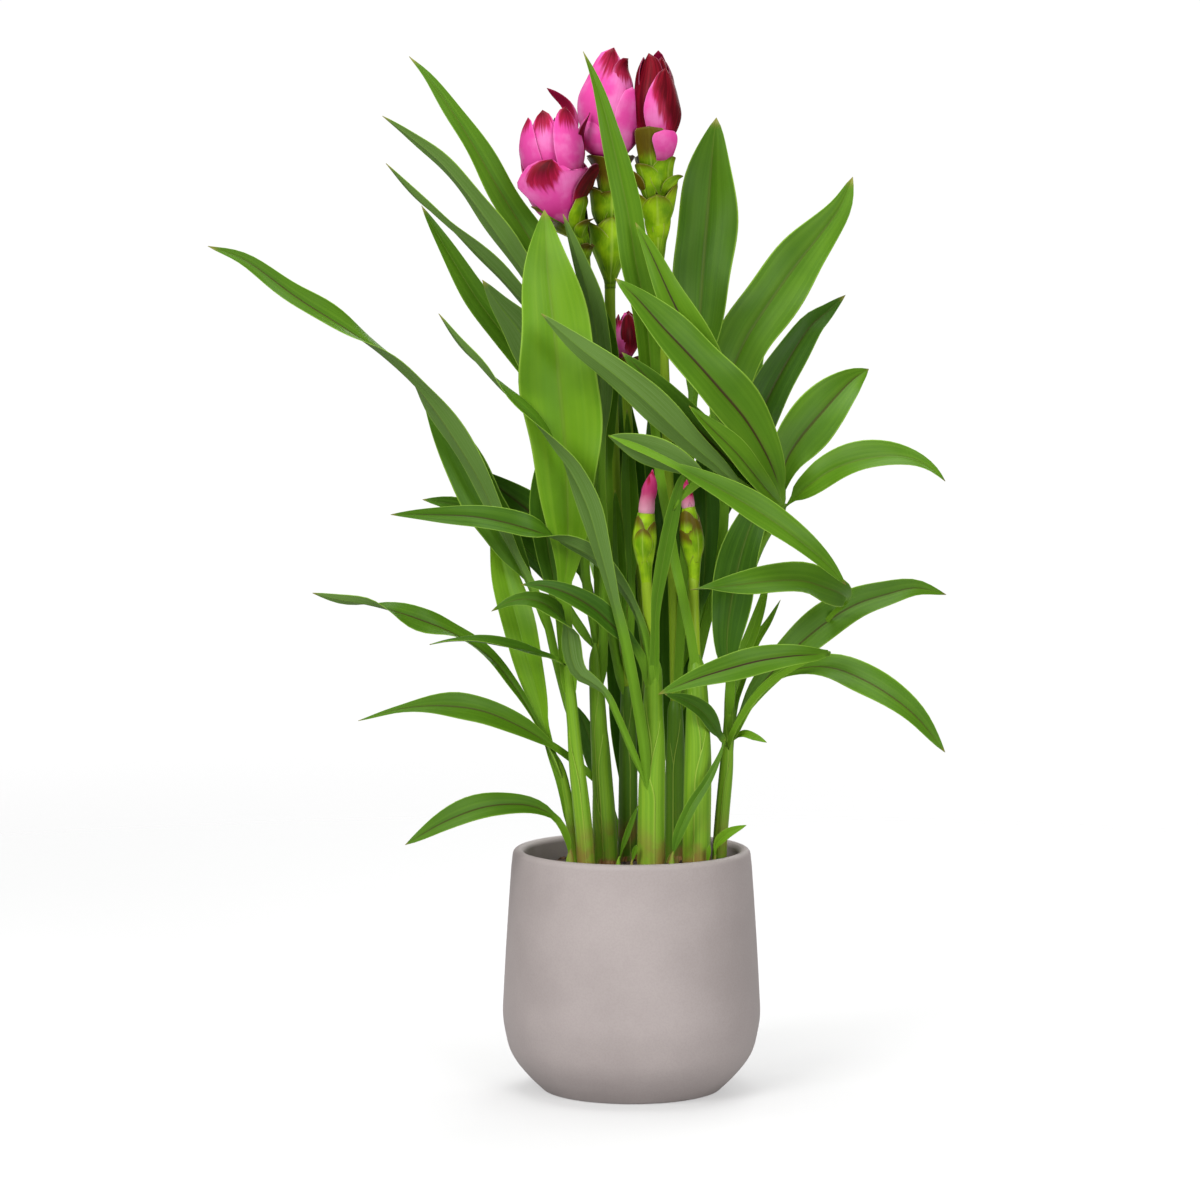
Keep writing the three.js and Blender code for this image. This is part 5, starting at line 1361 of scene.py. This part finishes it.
def pink_bract_finish():
    pink = Finish("bract_pink", Roughness=0.42, Specular_IOR_Level=0.1)
    along, round_share, aside, from_middle, upper = blade_shares(pink)
    ripe = pink.attribute("ripe")
    to_right = pink.times(aside, pink.math("SUBTRACT", pink.times(upper, 2), 1))
    streaks = pink.grain(along, 1.6, round_share, 30, 3, ripe)
    fine = pink.grain(along, 3, round_share, 110, 2, ripe)
    clouds = pink.noise(pink.coordinates(), 70, 3)
    # Deep magenta towards the foot of each bract: partly its own colour and partly painted shade where the
    # bracts overlap.
    pink.look = pink.mix(pink.step(along, 0.05, 0.55), tint(190, 16, 112), tint(230, 78, 166))
    pink.cover(pink.step(clouds, 0.4, 0.7, 0, 0.6), 240, 146, 206)
    pale_foot = pink.mix(pink.step(along, 0.05, 0.6), tint(236, 178, 196), tint(186, 44, 96))
    pink.look = pink.mix(pink.times(pink.attribute("faded"), 0.85), pink.look, pale_foot)
    pink.cover(pink.step(fine, 0.5, 0.8, 0, 0.35), 214, 60, 148)
    start = pink.math("SUBTRACT", 1.02, ripe)
    reach = pink.math("ADD", along, pink.times(pink.math("SUBTRACT", streaks, 0.5), 0.34))
    inward = pink.times(from_middle, from_middle)
    reach = pink.math("SUBTRACT", reach, pink.times(inward, pink.attribute("narrow")))
    reach = pink.math("ADD", reach, pink.times(to_right, pink.attribute("lean")))
    past = pink.math("SUBTRACT", reach, start)
    crimson = pink.mix(pink.step(fine, 0.4, 0.7), tint(150, 6, 40), tint(186, 26, 66))
    maroon = pink.mix(pink.step(streaks, 0.4, 0.65), tint(80, 2, 12), tint(124, 10, 28))
    pink.look = pink.mix(pink.step(past, -0.07, 0.05, 0, 0.94), pink.look, crimson)
    pink.look = pink.mix(pink.step(past, 0.02, 0.22, 0, 0.95), pink.look, maroon)
    pink.cover(pink.times(pink.step(from_middle, 0.93, 0.98), 0.25), 240, 150, 205)
    # Painted shade: the inner face of each bract is painted deeper magenta, as the shade inside its cup.
    inner = pink.mix(0.5, pink.look, tint(150, 18, 66))
    pink.look = pink.mix(upper, inner, pink.look)
    pink.wear()
    normal = pink.bump(pink.mix(0.5, fine, streaks), 0.25, 0.3)
    pink.glow(0.2, pink.mix(0.4, pink.look, tint(240, 60, 160)), normal)
    return pink.material


# ripe is how far a bract's maroon tip runs down. Its stain leans to the right of the bract and
# narrows towards its foot, each by so much.
COMAS = dict(
    bloom_left=[
        dict(rows=[(-35.5, 519, 9), (-41, 530, 17.5), (-46, 542, 24), (-48.5, 551, 26), (-47.5, 558.5, 25)],
             half=23.5, base=0.12, widest=0.75, cup=1.9, tip=0.78, straight=0.95, ripe=0.35,
             stain=(-0.24, 0.6)),
        dict(rows=[(-33, 528, 9), (-28, 537, 14), (-23.5, 546, 15), (-19.5, 552, 11)], half=12.5, tip=0.36,
             cup=1.3, ripe=0.85),
        dict(azimuth=45, rows=[(16, 5), (28, 15), (42, 21), (54, 21)], half=14, ripe=0.25),
        dict(azimuth=105, rows=[(16, 5), (28, 15), (42, 22), (52, 24)], half=14, ripe=0.3),
        dict(azimuth=165, rows=[(18, 5), (28, 15), (42, 19), (54, 18)], half=13, ripe=0.25),
        dict(rows=[(-46, 537, 10), (-58, 549, 16), (-63.5, 562, 16), (-64, 574, 13), (-61.5, 583, 9)],
             half=11, tip=0.6, ripe=0.2),
        dict(rows=[(-45, 540, 13), (-50, 552, 20.5), (-52, 566, 22), (-53, 578, 19), (-53, 587.5, 13)],
             half=9.5, tip=0.62, ripe=0.28),
        dict(rows=[(-38, 538, 14), (-35.5, 552, 22), (-36, 567, 22.5), (-38, 580, 18), (-39.5, 589.5, 12)],
             half=11, tip=0.62, ripe=0.26),
        dict(rows=[(-32, 545, 8), (-29, 560, 11), (-29.5, 573, 11), (-25, 586, 7)], half=6, tip=0.9,
             ripe=0.7),
        dict(rows=[(-37, 562, -6), (-34, 579, -9), (-39, 591, -11), (-50.5, 600.5, -9)], half=4.2, tip=0.9,
             ripe=0.55),
        dict(azimuth=25, rows=[(28, 8), (44, 17), (60, 18), (76, 15)], half=11, ripe=0.25),
        dict(azimuth=75, rows=[(28, 8), (44, 17), (60, 19), (78, 17)], half=11, ripe=0.25),
        dict(azimuth=130, rows=[(28, 8), (42, 18), (58, 20), (74, 18)], half=11, ripe=0.25),
        *[dict(azimuth=turn, rows=[(46, 7), (60, 10), (72, 8), (80, 3)], half=8, ripe=0.35)
          for turn in (-90, 30, 150)],
    ],
    bloom_middle=[
        dict(rows=[(-18, 558, -7), (-23, 563, -1), (-26.5, 572, 1.5), (-28, 583, 0)], half=11, tip=0.8,
             ripe=0),
        dict(rows=[(-16, 558, -8), (-20, 566, -0.5), (-22, 580, 4.5), (-20, 597, 4.5), (-14, 613, -2),
                   (-10.8, 624.3, -8)], half=18, ripe=0.27, stain=(0, 0.6)),
        dict(rows=[(-8, 575, -7), (-4, 590, -2.5), (-3.5, 603, -3), (-4, 612, -6), (-2.5, 618, -9)],
             half=11, tip=0.6, ripe=0.35),
        dict(rows=[(-8, 558, -8), (-2, 567, -1), (0.5, 580, 1.5), (1.5, 592, 0), (0, 601, -3)], half=13,
             tip=0.5, ripe=0),
        dict(azimuth=30, rows=[(64, 4), (72, 12), (88, 16), (104, 15), (118, 9)], half=15, ripe=0.3),
        dict(azimuth=95, rows=[(64, 4), (72, 13), (88, 18), (104, 18), (116, 15)], half=16, ripe=0.3),
        dict(azimuth=160, rows=[(64, 4), (72, 12), (88, 16.5), (106, 15), (120, 8)], half=16, ripe=0.3),
        dict(azimuth=-60, rows=[(86, 8), (100, 11), (114, 9), (127, 4)], half=9, ripe=0.15),
        *[dict(azimuth=turn, rows=[(86, 8), (100, 11), (114, 9), (125, 4)], half=9, ripe=0.3)
          for turn in (60, 180)],
    ],
    bloom_right=[
        dict(rows=[(19, 556.5, 2), (20, 561, 5.5), (20.4, 567, 8), (20, 572, 8.4), (19.2, 576, 7.6)],
             half=8.4, base=0.6, widest=0.75, tip=0.3, ripe=0),
        dict(rows=[(16, 562, 1), (18.5, 574, 6.5), (20.5, 588, 7), (21.5, 601, 2), (19.8, 612.3, -3)],
             half=14, widest=0.5, tip=0.66, ripe=0.68, stain=(0.4, 0.1)),
        dict(rows=[(10, 566, -1), (7.5, 580, 3.5), (7, 596, 3.5), (9, 611, -1), (10, 621, -5)], half=13,
             tip=0.6, ripe=0.97),
        dict(azimuth=-40, rows=[(66, 6), (84, 9), (100, 9), (113, 5)], half=9, tip=0.55, ripe=0.7),
        dict(azimuth=20, rows=[(56, 5), (70, 11), (86, 12), (100, 11), (110, 7)], half=13, ripe=0.6),
        dict(azimuth=85, rows=[(56, 5), (70, 12), (86, 15), (102, 14), (114, 11)], half=13, ripe=0.7),
        dict(azimuth=160, rows=[(56, 5), (70, 11), (86, 12), (102, 11), (113, 7)], half=13, ripe=0.7),
        dict(azimuth=60, rows=[(76, 7), (92, 9), (106, 8), (117, 4)], half=8, ripe=0.6),
    ],
    bloom_hidden=[
        dict(azimuth=-55, rows=[(12, 3.5), (20, 8), (30, 8), (40, 3.5)], half=8, ripe=0.9),
        dict(azimuth=-130, rows=[(12, 3.5), (20, 8), (28, 8), (36, 5)], half=8, ripe=0.2),
        dict(azimuth=60, rows=[(12, 3.5), (20, 8), (30, 8), (41, 4)], half=9, ripe=0.6),
        dict(azimuth=170, rows=[(12, 3.5), (20, 8), (30, 8), (39, 4)], half=8, ripe=0.6),
    ],
)

petal_pink = pink_bract_finish()
for name, shapes in COMAS.items():
    head = HEADS[name]
    axis = Route(head["axis"])
    coma = work("ripe", "lean", "narrow", "faded")
    tube(coma, AxisRoute(axis, head["core"], head["neck"], head["core"][-1][0]))
    for shape in shapes:
        bract(coma, axis, **shape)
    finish_piece(f"{name}_pink_bracts", coma, petal_pink, "bract_pink", f"{name}_coma")


# The closed buds: a plump green body wrapped in close scales with pale edges, and a tight pink
# tip of twisted bracts that fades towards its base.

BUDS = dict(
    bud_centre=dict(
        green=[(8.9, 303, 40, 3.0), (8.6, 309, 40, 3.45), (8.1, 317, 40, 4.2), (7.6, 325, 40, 5.5),
            (7.6, 332, 40, 6.4), (8.0, 340, 40, 6.1), (8.6, 348, 40, 5.0)],
        pink=[(8.6, 346, 40, 4.6), (9.0, 353, 40, 4.8), (10.1, 361, 40, 3.8), (11.5, 368, 40, 2.2),
            (12.4, 374, 40, 0.3)],
        scales=[
            dict(azimuth=-150, rows=[(10, 3.2), (20, 5.6), (28, 6.8), (38, 6.1), (43, 5.2)], half=8,
                 rust=0.3),
            dict(azimuth=-30, rows=[(10, 3.2), (20, 5.6), (28, 6.8), (36, 6.3), (40, 5.8)], half=8,
                 rust=0.3),
            dict(azimuth=90, rows=[(10, 3.2), (20, 5.6), (28, 6.8), (36, 6.2), (42, 5.2)], half=8,
                 rust=0.3),
            dict(azimuth=-100, rows=[(14, 3.8), (20, 5.8), (26, 7), (32, 7.1), (36, 6.7)], half=6.5,
                 rust=0.3),
        ],
        petals=[
            dict(rows=[(6.5, 346, 43.6), (7.2, 354, 44), (9.6, 362, 42.8), (12.2, 373, 40.4)], half=7.5,
                 tip=0.9, ripe=0.15),
            dict(rows=[(10.5, 346, 43.5), (12.2, 354, 43.2), (12.7, 362, 41.8), (12.5, 372, 40.3)], half=7,
                 tip=0.9, ripe=0.3),
            dict(azimuth=90, rows=[(0, 4.6), (8, 4.8), (16, 3.4), (24, 0.8)], half=6.5, ripe=0.5),
        ],
    ),
    bud_right=dict(
        green=[(37.4, 303, 18, 3.0), (37.2, 309, 18, 3.45), (36.9, 319, 18, 4.6), (36.2, 330, 18, 6.0),
            (35, 340, 18, 5.8), (33.8, 351.6, 18, 3.8)],
        pink=[(33.8, 350, 18, 3.4), (33.2, 355, 18, 3.3), (32.8, 361, 18, 2.5), (32.8, 368, 18, 0.3)],
        scales=[
            dict(azimuth=-150, rows=[(12, 3.8), (20, 5.8), (28, 6.9), (36, 6.8)], half=8.5, rust=0.45),
            dict(azimuth=-60, rows=[(15, 4.4), (23, 6.3), (32, 6.9), (42, 5.6)], half=8, rust=0.45),
            dict(azimuth=-120, rows=[(26, 5.6), (34, 6.7), (42, 5.7), (47, 4.9)], half=7, rust=0.55),
            dict(azimuth=30, rows=[(16, 4.6), (26, 6.8), (36, 6.4), (44, 5.2)], half=8, rust=0.45),
            dict(azimuth=110, rows=[(16, 4.6), (26, 6.8), (36, 6.4), (44, 5.2)], half=8, rust=0.4),
        ],
        petals=[
            dict(azimuth=-130, rows=[(0, 3.5), (5, 3.8), (11, 2.9), (17, 0.8)], half=5.5, ripe=0.1),
            *[dict(azimuth=turn, rows=[(0, 3.5), (5, 3.8), (11, 2.8), (16, 0.8)], half=5.5, ripe=0.5)
              for turn in (-10, 110)],
        ],
    ),
)

for name, bud in BUDS.items():
    body = work("rust", "foot")
    body_line = Route(bud["green"])
    tube(body, body_line)
    for shape in bud["scales"]:
        bract(body, body_line, base=0.2, **shape)
    finish_piece(f"{name}_scales", body, spike_green, "bract_green", f"{name}_green")
    point = work("ripe", "lean", "narrow", "faded")
    point_line = Route(bud["pink"])
    tube(point, point_line, faded=1)
    for shape in bud["petals"]:
        bract(point, point_line, faded=1, **shape)
    finish_piece(f"{name}_petals", point, petal_pink, "bract_pink", f"{name}_pink")
